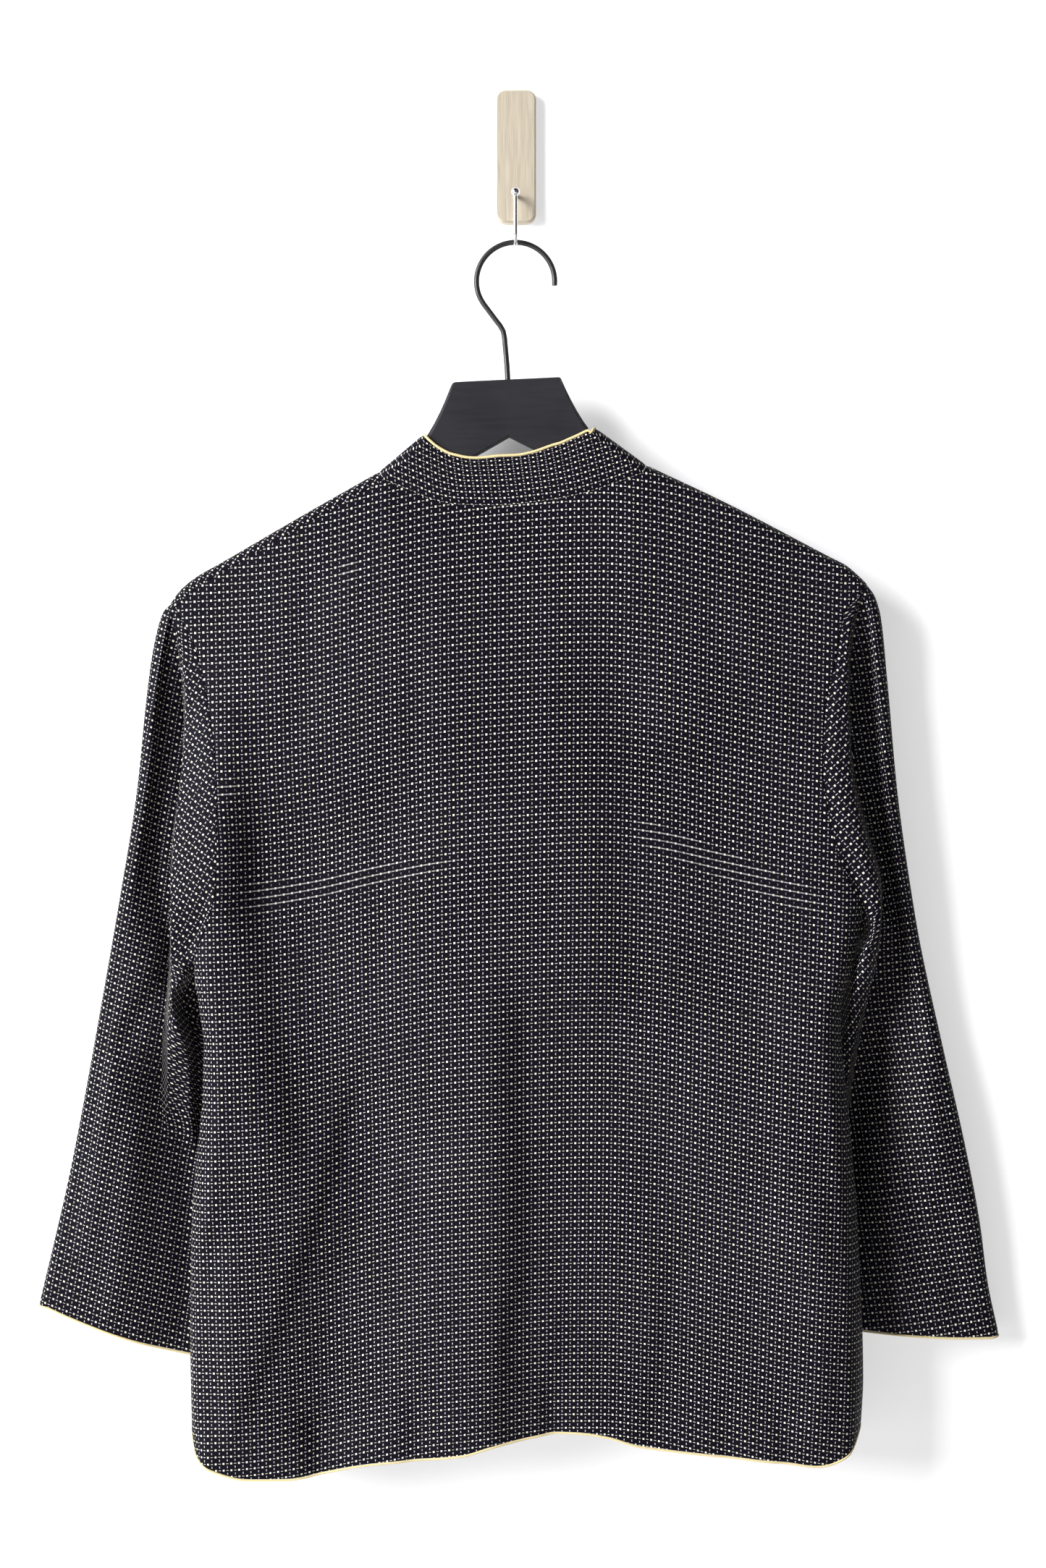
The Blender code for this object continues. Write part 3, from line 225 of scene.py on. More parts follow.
RIGHT_VALLEY = table(Valley,
    (-0.31, 0.245, 0, 0, 0.005), (-0.335, 0.239, 0.008, 0.0005, 0.0048),
    (-0.36, 0.2362, 0.015, 0.0008, 0.0048), (-0.387, 0.2358, 0.0175, 0.001, 0.0048),
    (-0.437, 0.2385, 0.0185, 0.0015, 0.006), (-0.4792, 0.249, 0.019, 0.003, 0.008),
    (-0.5177, 0.2592, 0.02, 0.0035, 0.0062), (-0.5377, 0.2585, 0.0205, 0.0045, 0.0052),
    (-0.5722, 0.256, 0.023, 0.013, 0.0046), (-0.595, 0.251, 0.024, 0.0125, 0.005),
    (-0.6182, 0.246, 0.0235, 0.011, 0.0055), (-0.6397, 0.2425, 0.0215, 0.008, 0.006),
    (-0.67, 0.238, 0.018, 0.002, 0.006), (-0.7, 0.2355, 0.012, 0, 0.006), (-0.75, 0.2345, 0.005, 0, 0.006),
    (-0.8, 0.235, 0, 0, 0.006))

# Lie of the sleeves down their length, 0 at the shoulder, 1 at the underarm and 2 at the cuff:
# the outer fold's middle and half depth, and how deep the two sides lie at the inner fold
SLEEVE_SECTIONS = table(Section,
    (0, -0.03, 0.0085, 0, -0.0385, -0.0215), (0.4, -0.0325, 0.0085, 0.001, -0.046, -0.0225),
    (0.75, -0.0325, 0.0085, 0.002, -0.051, -0.0225), (0.9, -0.0315, 0.0085, 0.0025, -0.0502, -0.021),
    (1, -0.03, 0.0085, 0.003, -0.048, -0.02), (1.1, -0.028, 0.0085, 0.0035, -0.043, -0.018),
    (1.2, -0.026, 0.0085, 0.004, -0.034, -0.0125), (1.34, -0.024, 0.0085, 0.005, -0.022, -0.0065),
    (1.6, -0.0205, 0.0085, 0.0062, -0.0212, -0.006), (2, -0.0165, 0.0085, 0.0056, -0.0212, -0.006))
SLEEVE_BULGE_START = 0.32     # share of the width, from the inner fold, that stays behind the body
NOSE_WIDTH = 0.0060           # width over which the inner fold rounds
WALL_NOSE = 0.16              # share of the width in which the wall's side closes there
VALLEY_POWER = 1.5            # how its other side eases out
RAISED_FROM = 0.0130          # how far inward of the valley the raised cloth has its middle
RAISED_WIDTH = 0.0095
SEAM_CALM = 0.0080            # width beside the armhole seam that a valley leaves alone
FOLD_CALM = 0.90              # share of the width beyond which it dies out towards the outer fold
SLEEVE_ROOM = 0.0045          # least depth kept between a sleeve's two sides
SLEEVE_WALL_Y = -0.0040       # nearest that a sleeve comes to the wall at its inner fold
RIDGE_REACH = 0.75            # share of the width over which the sleeve drops back from the armhole
FOLD_BACK_EASE = 0.3          # how far down the sleeve the outer fold takes to be set back and to return
FOLD_BACK_END = 1.2           # where it starts to return
END_CALM = 0.12               # share of a half's width, at both its ends, in which its folds die out

# Folds of the back: a line from top to bottom and how far it bows to the right, the width on each side
# of it, and its rise towards the room. They were placed one by one, and a least-squares fit of their shading
# to the photograph's then moved them and set their widths, bows and rises, rounded here.
BACK_CREASES = table(Crease,
    (-0.106, -0.655, -0.182, -0.89, 0.007, 0.01, 0.059, -0.0042),
    (-0.178, -0.45, -0.136, -0.715, -0.006, 0.021, 0.107, -0.0077),
    (0.009, -0.59, 0.013, -0.93, 0.003, 0.018, 0.12, -0.0081),
    (0.001, -0.8, -0.005, -0.905, -0.001, 0.009, 0.011, -0.002),
    (-0.208, -0.395, -0.209, -0.545, 0.001, 0.02, 0.022, 0.0058),
    (0.072, -0.34, 0.087, -0.6, 0.001, 0.024, 0.028, -0.0042),
    (-0.1, -0.301, -0.196, -0.425, -0.002, 0.015, 0.012, 0.0004),
    (-0.051, -0.301, -0.064, -0.531, 0.006, 0.013, 0.022, 0.0011),
    (-0.061, -0.69, -0.101, -0.85, 0.002, 0.012, 0.02, -0.0007),
    (0.112, -0.78, 0.096, -0.905, 0.001, 0.01, 0.041, -0.0029),
    (-0.137, -0.885, -0.133, -0.935, 0, 0.01, 0.024, -0.0045),
    (-0.069, -0.87, -0.069, -0.925, 0, 0.008, 0.018, -0.0026),
    (0.024, -0.865, 0.026, -0.905, 0, 0.007, 0.012, -0.0023),
    (0.145, -0.87, 0.146, -0.92, 0, 0.008, 0.014, -0.0015),
    (0.185, -0.88, 0.186, -0.92, 0, 0.007, 0.012, -0.0018),
    (-0.181, -0.48, -0.175, -0.56, -0.003, 0.006, 0.015, -0.0007),
    (0.02, -0.64, 0.04, -0.78, 0.006, 0.012, 0.014, 0.0005),
    (0.112, -0.69, 0.066, -0.81, -0.003, 0.011, 0.02, -0.0004),
    (0.14, -0.64, 0.1, -0.76, 0, 0.014, 0.014, 0.0003), (0.179, -0.56, 0.15, -0.7, 0, 0.013, 0.018, -0.0005),
    (0.11, -0.56, 0.08, -0.68, 0.003, 0.012, 0.012, 0.0005),
    (0.192, -0.7, 0.179, -0.86, -0.004, 0.012, 0.017, 0.0016),
    (0.205, -0.48, 0.17, -0.56, 0.007, 0.01, 0.012, 0.0005),
    (0.02, -0.3, 0.019, -0.48, 0.003, 0.012, 0.015, 0.0007),
    (0.155, -0.3, 0.19, -0.42, -0.003, 0.012, 0.015, 0.001),
    (-0.143, -0.3, -0.151, -0.42, -0.001, 0.011, 0.016, -0.0012),
    (-0.124, -0.47, -0.109, -0.62, 0, 0.013, 0.018, 0.0003),
    (-0.087, -0.43, -0.096, -0.59, 0.001, 0.011, 0.017, -0.0008),
    (-0.21, -0.76, -0.211, -0.9, -0.004, 0.009, 0.012, -0.0053),
    (-0.144, -0.47, -0.105, -0.72, -0.006, 0.038, 0.099, -0.0079),
    (0.043, -0.6, 0.044, -0.93, -0.003, 0.029, 0.12, -0.0039),
    (-0.084, -0.7, -0.133, -0.9, -0.007, 0.027, 0.057, -0.0075),
    (-0.192, -0.33, -0.191, -0.47, -0.002, 0.031, 0.037, 0.0008),
    (0.193, -0.56, 0.2, -0.72, 0.001, 0.02, 0.019, 0.0014),
    (0.203, -0.73, 0.208, -0.9, 0.004, 0.02, 0.013, 0.0044),
    (-0.2, -0.58, -0.205, -0.72, -0.003, 0.016, 0.02, -0.0016),
    (0.12, -0.42, 0.147, -0.62, 0.001, 0.04, 0.051, -0.0057),
    (-0.055, -0.34, -0.036, -0.52, 0.005, 0.02, 0.042, 0.0017),
    (0.066, -0.6, 0.12, -0.78, 0.003, 0.025, 0.05, -0.0032))

# Folds of the fronts, rising towards the wall
FRONT_CREASES = table(Crease,
    (-0.06, -0.34, -0.085, -0.7, 0.004, 0.02, 0.03, 0.004),
    (-0.12, -0.52, -0.11, -0.88, 0, 0.018, 0.026, 0.0038),
    (-0.035, -0.6, -0.04, -0.9, 0, 0.016, 0.02, -0.0035),
    (-0.165, -0.46, -0.148, -0.68, 0, 0.02, 0.014, -0.004),
    (-0.185, -0.7, -0.16, -0.9, -0.004, 0.012, 0.026, 0.003),
    (-0.088, -0.76, -0.094, -0.92, 0, 0.01, 0.014, -0.003),
    (-0.09, -0.32, -0.15, -0.43, 0.004, 0.013, 0.016, 0.0018),
    (-0.2, -0.4, -0.196, -0.54, 0, 0.012, 0.018, 0.003),
    (0.065, -0.34, 0.08, -0.66, -0.003, 0.03, 0.02, 0.004),
    (0.115, -0.56, 0.105, -0.88, 0, 0.018, 0.022, 0.0036),
    (0.035, -0.56, 0.045, -0.9, 0, 0.016, 0.018, -0.0035),
    (0.16, -0.43, 0.15, -0.64, 0, 0.014, 0.02, -0.0036),
    (0.17, -0.69, 0.186, -0.9, 0.004, 0.024, 0.012, 0.003),
    (0.078, -0.79, 0.074, -0.915, 0, 0.012, 0.01, -0.0026),
    (0.1, -0.31, 0.16, -0.42, -0.003, 0.015, 0.013, 0.0018))

# Folds of the sleeves on the room's side, and rising towards the wall on the other
SLEEVE_CREASES = {
    "left": table(Crease,
        (-0.269, -0.64, -0.267, -0.86, 0, 0.022, 0.014, 0.0022),
        (-0.285, -0.61, -0.3, -0.78, 0, 0.012, 0.012, 0.0026),
        (-0.268, -0.69, -0.285, -0.83, 0, 0.009, 0.011, 0.0022),
        (-0.225, -0.7, -0.235, -0.84, 0, 0.01, 0.01, -0.002),
        (-0.262, -0.42, -0.268, -0.56, 0, 0.009, 0.009, 0.0016),
        (-0.24, -0.575, -0.282, -0.64, 0, 0.008, 0.01, -0.0024)),
    "right": table(Crease,
        (0.262, -0.64, 0.29, -0.8, 0.002, 0.012, 0.012, -0.003),
        (0.24, -0.62, 0.255, -0.76, 0, 0.011, 0.012, 0.0028),
        (0.289, -0.62, 0.309, -0.74, 0, 0.012, 0.009, 0.001),
        (0.262, -0.74, 0.275, -0.83, 0, 0.01, 0.011, 0.0022),
        (0.3, -0.73, 0.312, -0.825, 0, 0.008, 0.01, -0.0022),
        (0.25, -0.565, 0.285, -0.635, 0, 0.009, 0.01, -0.0024)),
}
SLEEVE_WALL_CREASES = {
    "left": table(Crease,
        (-0.242, -0.42, -0.25, -0.6, 0, 0.012, 0.012, -0.003),
        (-0.27, -0.56, -0.29, -0.76, 0, 0.012, 0.014, -0.003),
        (-0.24, -0.68, -0.25, -0.84, 0, 0.012, 0.012, -0.0026)),
    "right": table(Crease,
        (0.246, -0.4, 0.256, -0.58, 0, 0.012, 0.012, -0.003),
        (0.275, -0.58, 0.3, -0.77, 0, 0.014, 0.012, -0.003),
        (0.245, -0.68, 0.262, -0.82, 0, 0.012, 0.012, -0.0026)),
}
FOLD_FADE = 0.22              # share of a fold's length over which each end dies out

# Woven repeat of the back: where its rows hang lower, across the width, from their measured slopes
ROW_DROOP = table(Droop,
    (-0.236, 0.038), (-0.186, 0.035), (-0.141, 0.0283), (-0.096, 0.0178), (-0.051, 0.009), (-0.006, 0.0039),
    (0.044, 0.0003), (0.059, 0), (0.094, 0.0035), (0.144, 0.014), (0.189, 0.0233), (0.229, 0.03))
BACK_REPEAT = (0.00585, 0.00552)     # width and height of one repeat, at REPEAT_Z
BACK_REPEAT_GROWTH = (0.00082, 0.00147)    # how much wider and higher it gets for each metre up
REPEAT_Z = -0.30
FRONT_REPEAT = (0.0057, 0.0052)
SHOULDER_REPEAT = (0.0058, 0.0055)
COLLAR_REPEAT = (0.00590, 0.00490)
COLLAR_LEAN = 0.133           # how far its columns lean to the left on the way up
COLLAR_START = 0.69           # share of a repeat by which they are set over
COLLAR_SQUEEZE = 0.41         # how much closer its rows lie at the top edge of the centre back
SQUEEZE_X, SQUEEZE_HALF = -0.008, 0.045    # middle and half width of that stretch
RAISED_START_Z = -0.440       # where the sleeve's two repeats meet without a shift
TURN_SHARE = 0.3              # share of the valley's side, from its floor, in which they change over
FULL_TURN_DEPTH = 0.010       # depth of the valley from which the raised cloth lies wholly turned

# Worn cloth on the back: the slope and level of a band, from and to which x, and half its height there
LEFT_WEAR = (0.193, -0.4933, -0.186, -0.048, 0.0105, 0.0040)
RIGHT_WEAR = (-0.420, -0.4440, 0.086, 0.206, 0.0090, 0.0105)
WORN_SPOTS = ((-0.116, 0.0, -0.298), (-0.200, 0.0, -0.452))

# Each sleeve's repeat is one step across and one down, as x, z, and then the same beside the armhole
LEFT = Side("left", -1, LEFT_RIDGE, LEFT_EDGE, underarm_z=-0.5765, sleeve=LEFT_SLEEVE, inner=LEFT_INNER,
            nose=LEFT_NOSE, valley=LEFT_VALLEY, collar_ridge=Point(-0.0656, -0.2030), valley_reach=0.0320,
            fold_back=0.0, cuff_droop=0.0046, seam_step=WRAP_STEPS,
            repeat=((0.00530, -0.00175), (-0.00085, -0.00480)),
            raised_repeat=((0.00470, -0.00320), (-0.00270, -0.00445)))
RIGHT = Side("right", 1, RIGHT_RIDGE, RIGHT_EDGE, underarm_z=-0.5385, sleeve=RIGHT_SLEEVE, inner=RIGHT_INNER,
             nose=RIGHT_NOSE, valley=RIGHT_VALLEY, collar_ridge=Point(0.0568, -0.1984), valley_reach=0.0600,
             fold_back=0.0055, cuff_droop=0.0020, seam_step=WRAP_STEPS * 2 // 3,
             repeat=((0.00560, 0.00085), (0.00095, -0.00520)),
             raised_repeat=((0.00460, 0.00400), (0.00350, -0.00405)))


def through(rows, key, value, at):
    """Read one column of a table at any value of another, along a smooth curve that never overshoots."""
    rows = sorted(rows, key=lambda row: getattr(row, key))
    keys = np.array([getattr(row, key) for row in rows])
    values = np.array([getattr(row, value) for row in rows])
    step = np.diff(keys)
    rate = np.diff(values) / step
    slope = np.concatenate((rate[:1], np.zeros(len(rate) - 1), rate[-1:]))
    before, after = rate[:-1], rate[1:]
    same_way = before * after > 0
    slope[1:-1][same_way] = 2 * before[same_way] * after[same_way] / (before + after)[same_way]
    at = np.clip(np.asarray(at, dtype=float), keys[0], keys[-1])
    k = np.clip(np.searchsorted(keys, at) - 1, 0, len(step) - 1)
    t = (at - keys[k]) / step[k]
    return ((2 * t**3 - 3 * t**2 + 1) * values[k] + (t**3 - 2 * t**2 + t) * step[k] * slope[k]
            + (3 * t**2 - 2 * t**3) * values[k + 1] + (t**3 - t**2) * step[k] * slope[k + 1])


def mix(a, b, t):
    return a + (b - a) * t


def ease(t):
    t = np.clip(t, 0.0, 1.0)
    return t * t * (3 - 2 * t)


def rounded(t, power=0.5):
    """Curve from 0 with no slope at 0 up to 1: a quarter of an ellipse, or flatter at its end."""
    return 1 - (1 - np.clip(t, 0.0, 1.0) ** 2) ** power


def join(*parts):
    """Points, from arrays of their coordinates."""
    return np.stack(parts, axis=-1)


def unit(vectors):
    return vectors / np.linalg.norm(vectors, axis=-1, keepdims=True)


def crease_rise(creases, x, z):
    """Sum of the folds at points x, z: each a soft ridge or trough along its line."""
    total = np.zeros(np.broadcast(x, z).shape)
    for crease in creases:
        run_x, run_z = crease.low_x - crease.top_x, crease.low_z - crease.top_z
        length = math.hypot(run_x, run_z)
        along = ((x - crease.top_x) * run_x + (z - crease.top_z) * run_z) / length**2
        across = ((z - crease.top_z) * run_x - (x - crease.top_x) * run_z) / length
        across = across - crease.bow * 4 * along * (1 - along)
        ends = ease(along / FOLD_FADE + 0.5) * ease((1 - along) / FOLD_FADE + 0.5)
        width = np.where(across < 0, crease.left, crease.right)
        total += crease.rise * np.exp(-(across / width) ** 2) * ends
    return total


def ridge_frame(side, x):
    """Point on the shoulder ridge at x, and the direction that points straight out of it."""
    ends = sorted((side.ridge[0].x, side.ridge[-1].x))
    change = through(side.ridge, "x", "z", x + NUDGE) - through(side.ridge, "x", "z", x - NUDGE)
    slope = change / (np.clip(x + NUDGE, *ends) - np.clip(x - NUDGE, *ends))
    out = unit(join(-slope, np.ones_like(slope)))
    return join(x, through(side.ridge, "x", "z", x)), out


def wrap_points(ridge, out, drop, middle_y, half, turns):
    """Points over a fold: turn 0 lies on the room's side and turn pi on the wall's."""
    ridge, out = ridge[..., None, :], out[..., None, :]
    turns = np.asarray(turns)
    drop = np.asarray(drop)[..., None, None]
    flat = ridge - out * drop * (1 - np.sin(turns)[:, None])
    y = np.asarray(middle_y)[..., None] - np.asarray(half)[..., None] * np.cos(turns)
    return join(flat[..., 0], np.broadcast_to(y, flat[..., 0].shape), flat[..., 1])


def wrap_turns():
    """From the wall's side over to the room's side."""
    return np.linspace(math.pi, 0.0, WRAP_STEPS + 1)


def ridge_x(side, shares):
    """Places along the shoulder, as shares from the armhole to the neck."""
    return mix(side.ridge[-1].x, side.ridge[0].x, shares)


def shoulder_shares():
    """Columns from the armhole to the neck, close together near the armhole."""
    width = RIGHT.ridge[-1].x - LEFT.ridge[-1].x
    reach = abs(LEFT.ridge[-1].x - LEFT.ridge[0].x)
    near = np.linspace(0, 1, EDGE_COLUMNS + 1) ** 1.5 * EDGE_SHARE * width / reach
    far = np.linspace(near[-1], 1.0, SHOULDER_COLUMNS + 1)[1:]
    return np.concatenate((near, far))


def row_shares(side, top_z, low_z):
    """Heights of the rows at a side, as shares from the hem to the top, with one at the underarm."""
    underarm = (side.underarm_z - low_z) / (top_z - low_z)
    lower = np.linspace(0.0, underarm, SIDE_ROWS + 1)
    crowd = (1 - np.cos(np.pi * np.arange(1, ARMHOLE_ROWS + 1) / ARMHOLE_ROWS)) / 2
    return np.concatenate((lower, underarm + (1 - underarm) * crowd))


def closing_share(side, z, top_z):
    """1 along the side seam, falling to 0 up the armhole, where back and front stand apart."""
    down = (top_z - z) / (top_z - side.underarm_z)
    return np.where(down >= 1.0, 1.0, rounded((down - ARMHOLE_CLOSING) / (1 - ARMHOLE_CLOSING)))


def flat_back_y(x, z, top_z):
    fall = BACK_FALL * (1 - np.exp(-np.maximum(top_z - z, 0.0) / BACK_FALL_LENGTH))
    return HANG_Y - WRAP_HALF - fall - crease_rise(BACK_CREASES, x, z)


def flat_front_y(x, z, top_z):
    fall = FRONT_FALL * (1 - np.exp(-np.maximum(top_z - z, 0.0) / FRONT_FALL_LENGTH))
    return HANG_Y + WRAP_HALF - fall + crease_rise(FRONT_CREASES, x, z)


def shoulder_base(side, shares):
    """Where the cloth leaves the hanger and hangs straight: x and z under each place on the ridge."""
    ridge, out = ridge_frame(side, ridge_x(side, shares))
    return ridge - out * WRAP_DROP


def side_depth(side, z, top_z):
    """Depth of the side seam: midway between back and front."""
    x = through(side.edge, "z", "x", z)
    return (flat_back_y(x, z, top_z) + flat_front_y(x, z, top_z)) / 2


def close_to_side(side, x, y, edge_x, edge_z, edge_top):
    """Turn a sheet round towards the side seam over the last stretch of its width."""
    near = 1 - np.abs(x - edge_x) / SIDE_ROUND
    depth = side_depth(side, edge_z, edge_top)
    return y + (depth - y) * closing_share(side, edge_z, edge_top) * rounded(near, SIDE_POWER)


def back_sheet():
    """Points of the back, columns from left to right and rows from hem to top."""
    shares = shoulder_shares()
    left, right = shoulder_base(LEFT, shares), shoulder_base(RIGHT, shares)
    neck_x = np.linspace(left[-1, 0], right[-1, 0], BACK_NECK_COLUMNS + 1)[1:-1]
    neck = join(neck_x, through(NECK_SEAM, "x", "z", neck_x))
    top = np.concatenate((left, neck, right[::-1]))
    across = (top[:, 0] - top[0, 0]) / (top[-1, 0] - top[0, 0])

    hem_left, hem_right = HEM[0], HEM[-1]
    low_z = through(HEM, "x", "z", mix(hem_left.x, hem_right.x, across))
    left_rows = row_shares(LEFT, top[0, 1], low_z[0])
    right_rows = row_shares(RIGHT, top[-1, 1], low_z[-1])
    rise = mix(left_rows[None, :], right_rows[None, :], across[:, None])
    z = mix(low_z[:, None], top[:, 1][:, None], rise)
    left_x = through(LEFT.edge, "z", "x", z[0])
    right_x = through(RIGHT.edge, "z", "x", z[-1])
    x = mix(left_x[None, :], right_x[None, :], across[:, None])
    x = x + (top[:, 0] - x[:, -1])[:, None] * rise**TOP_FIT_POWER
    y = flat_back_y(x, z, top[:, 1][:, None])
    y = close_to_side(LEFT, x, y, x[0], z[0], z[0, -1])
    y = close_to_side(RIGHT, x, y, x[-1], z[-1], z[-1, -1])
    return join(x, y, z)


def front_sheet(side, back):
    """Points of one front, columns from the side seam to the centre front and rows from hem to top."""
    edge = back[0] if side is LEFT else back[-1]
    base = shoulder_base(side, shoulder_shares())
    centre_x = side.sign * FRONT_EDGE_X
    neck_x = mix(base[-1, 0], centre_x, np.linspace(0, 1, FRONT_NECK_COLUMNS + 1)[1:])
    neck_z = base[-1, 1] - FRONT_NECK_DEPTH * np.sqrt(np.clip(1 - (neck_x / base[-1, 0]) ** 2, 0, 1))
    top = np.concatenate((base, join(neck_x, neck_z)))
    across = (top[:, 0] - top[0, 0]) / (top[-1, 0] - top[0, 0])

    edge_x, edge_z = edge[:, 0], edge[:, 2]
    low_z = through(HEM, "x", "z", mix(edge_x[0], centre_x, across))
    rise = (edge_z - edge_z[0]) / (edge_z[-1] - edge_z[0])
    z = mix(low_z[:, None], top[:, 1][:, None], rise[None, :])
    x = mix(edge_x[None, :], centre_x, across[:, None])
    x = x + (top[:, 0] - x[:, -1])[:, None] * rise[None, :] ** TOP_FIT_POWER
    y = flat_front_y(x, z, top[:, 1][:, None])
    y = close_to_side(side, x, y, edge_x, edge_z, edge_z[-1])
    return join(x, y, z)


def shoulder_wrap(side):
    """Points over the shoulder: columns from armhole to neck, steps from the wall's side to the room's."""
    ridge, out = ridge_frame(side, ridge_x(side, shoulder_shares()))
    return wrap_points(ridge, out, WRAP_DROP, HANG_Y, WRAP_HALF, wrap_turns())


def collar_side(side):
    """Top edge of the collar where it passes over the hanger at one side of the neck."""
    ridge = np.array(side.collar_ridge)
    rise, run = unit(ridge - np.array(side.ridge[0]))[::-1]
    out = np.array((side.sign * rise, -side.sign * run))
    return wrap_points(ridge[None], out[None], COLLAR_WRAP_DROP, HANG_Y, WRAP_HALF, wrap_turns())[0]


def collar_top_front(side, base):
    """Top edge of the collar above the front neck seam."""
    centre_x = side.sign * FRONT_EDGE_X
    start_x, _, start_z = collar_side(side)[0]
    seam_x, seam_z = shoulder_base(side, np.array([1.0]))[0]
    x = mix(centre_x, start_x, (base[:, 0] - centre_x) / (seam_x - centre_x))
    depth = start_z - (seam_z - FRONT_NECK_DEPTH + COLLAR_HEIGHT)
    z = start_z - depth * np.sqrt(np.clip(1 - (x / start_x) ** 2, 0, 1))
    return join(x, np.full_like(x, HANG_Y + WRAP_HALF), z)


def collar_sheet(back, fronts, wraps):
    """Points of the collar from its seam to its top edge, round from centre front to centre front."""
    first, last = len(shoulder_shares()) - 1, back.shape[0] - len(shoulder_shares())
    left_front = fronts["left"][first + 1:, -1][::-1]
    right_front = fronts["right"][first + 1:, -1]
    back_neck = back[first + 1:last, -1]
    seam = np.concatenate((left_front, wraps["left"][-1], back_neck,
                           wraps["right"][-1][::-1], right_front))
    left_side, right_side = collar_side(LEFT), collar_side(RIGHT)[::-1]
    neck_left, neck_right = wraps["left"][-1, -1, 0], wraps["right"][-1, -1, 0]
    span = (back_neck[:, 0] - neck_left) / (neck_right - neck_left)
    top_x = mix(left_side[-1, 0], right_side[0, 0], span)
    top_z = through(COLLAR_TOP, "x", "z", top_x)
    back_top = join(top_x, np.full_like(top_x, HANG_Y - WRAP_HALF), top_z)
    top = np.concatenate((collar_top_front(LEFT, left_front), left_side, back_top,
                          right_side, collar_top_front(RIGHT, right_front)))
    shares = np.linspace(0, 1, COLLAR_ROWS + 1)[:, None, None]
    return mix(seam[None], top[None], shares)


def outer_fold(side, z):
    """Point on the outer fold of a sleeve at each height, and the direction straight out of it."""
    change = through(side.sleeve, "z", "x", z + NUDGE) - through(side.sleeve, "z", "x", z - NUDGE)
    slope = change / (2 * NUDGE)
    out = unit(join(np.full_like(slope, side.sign), -side.sign * slope))
    return join(through(side.sleeve, "z", "x", z), z), out


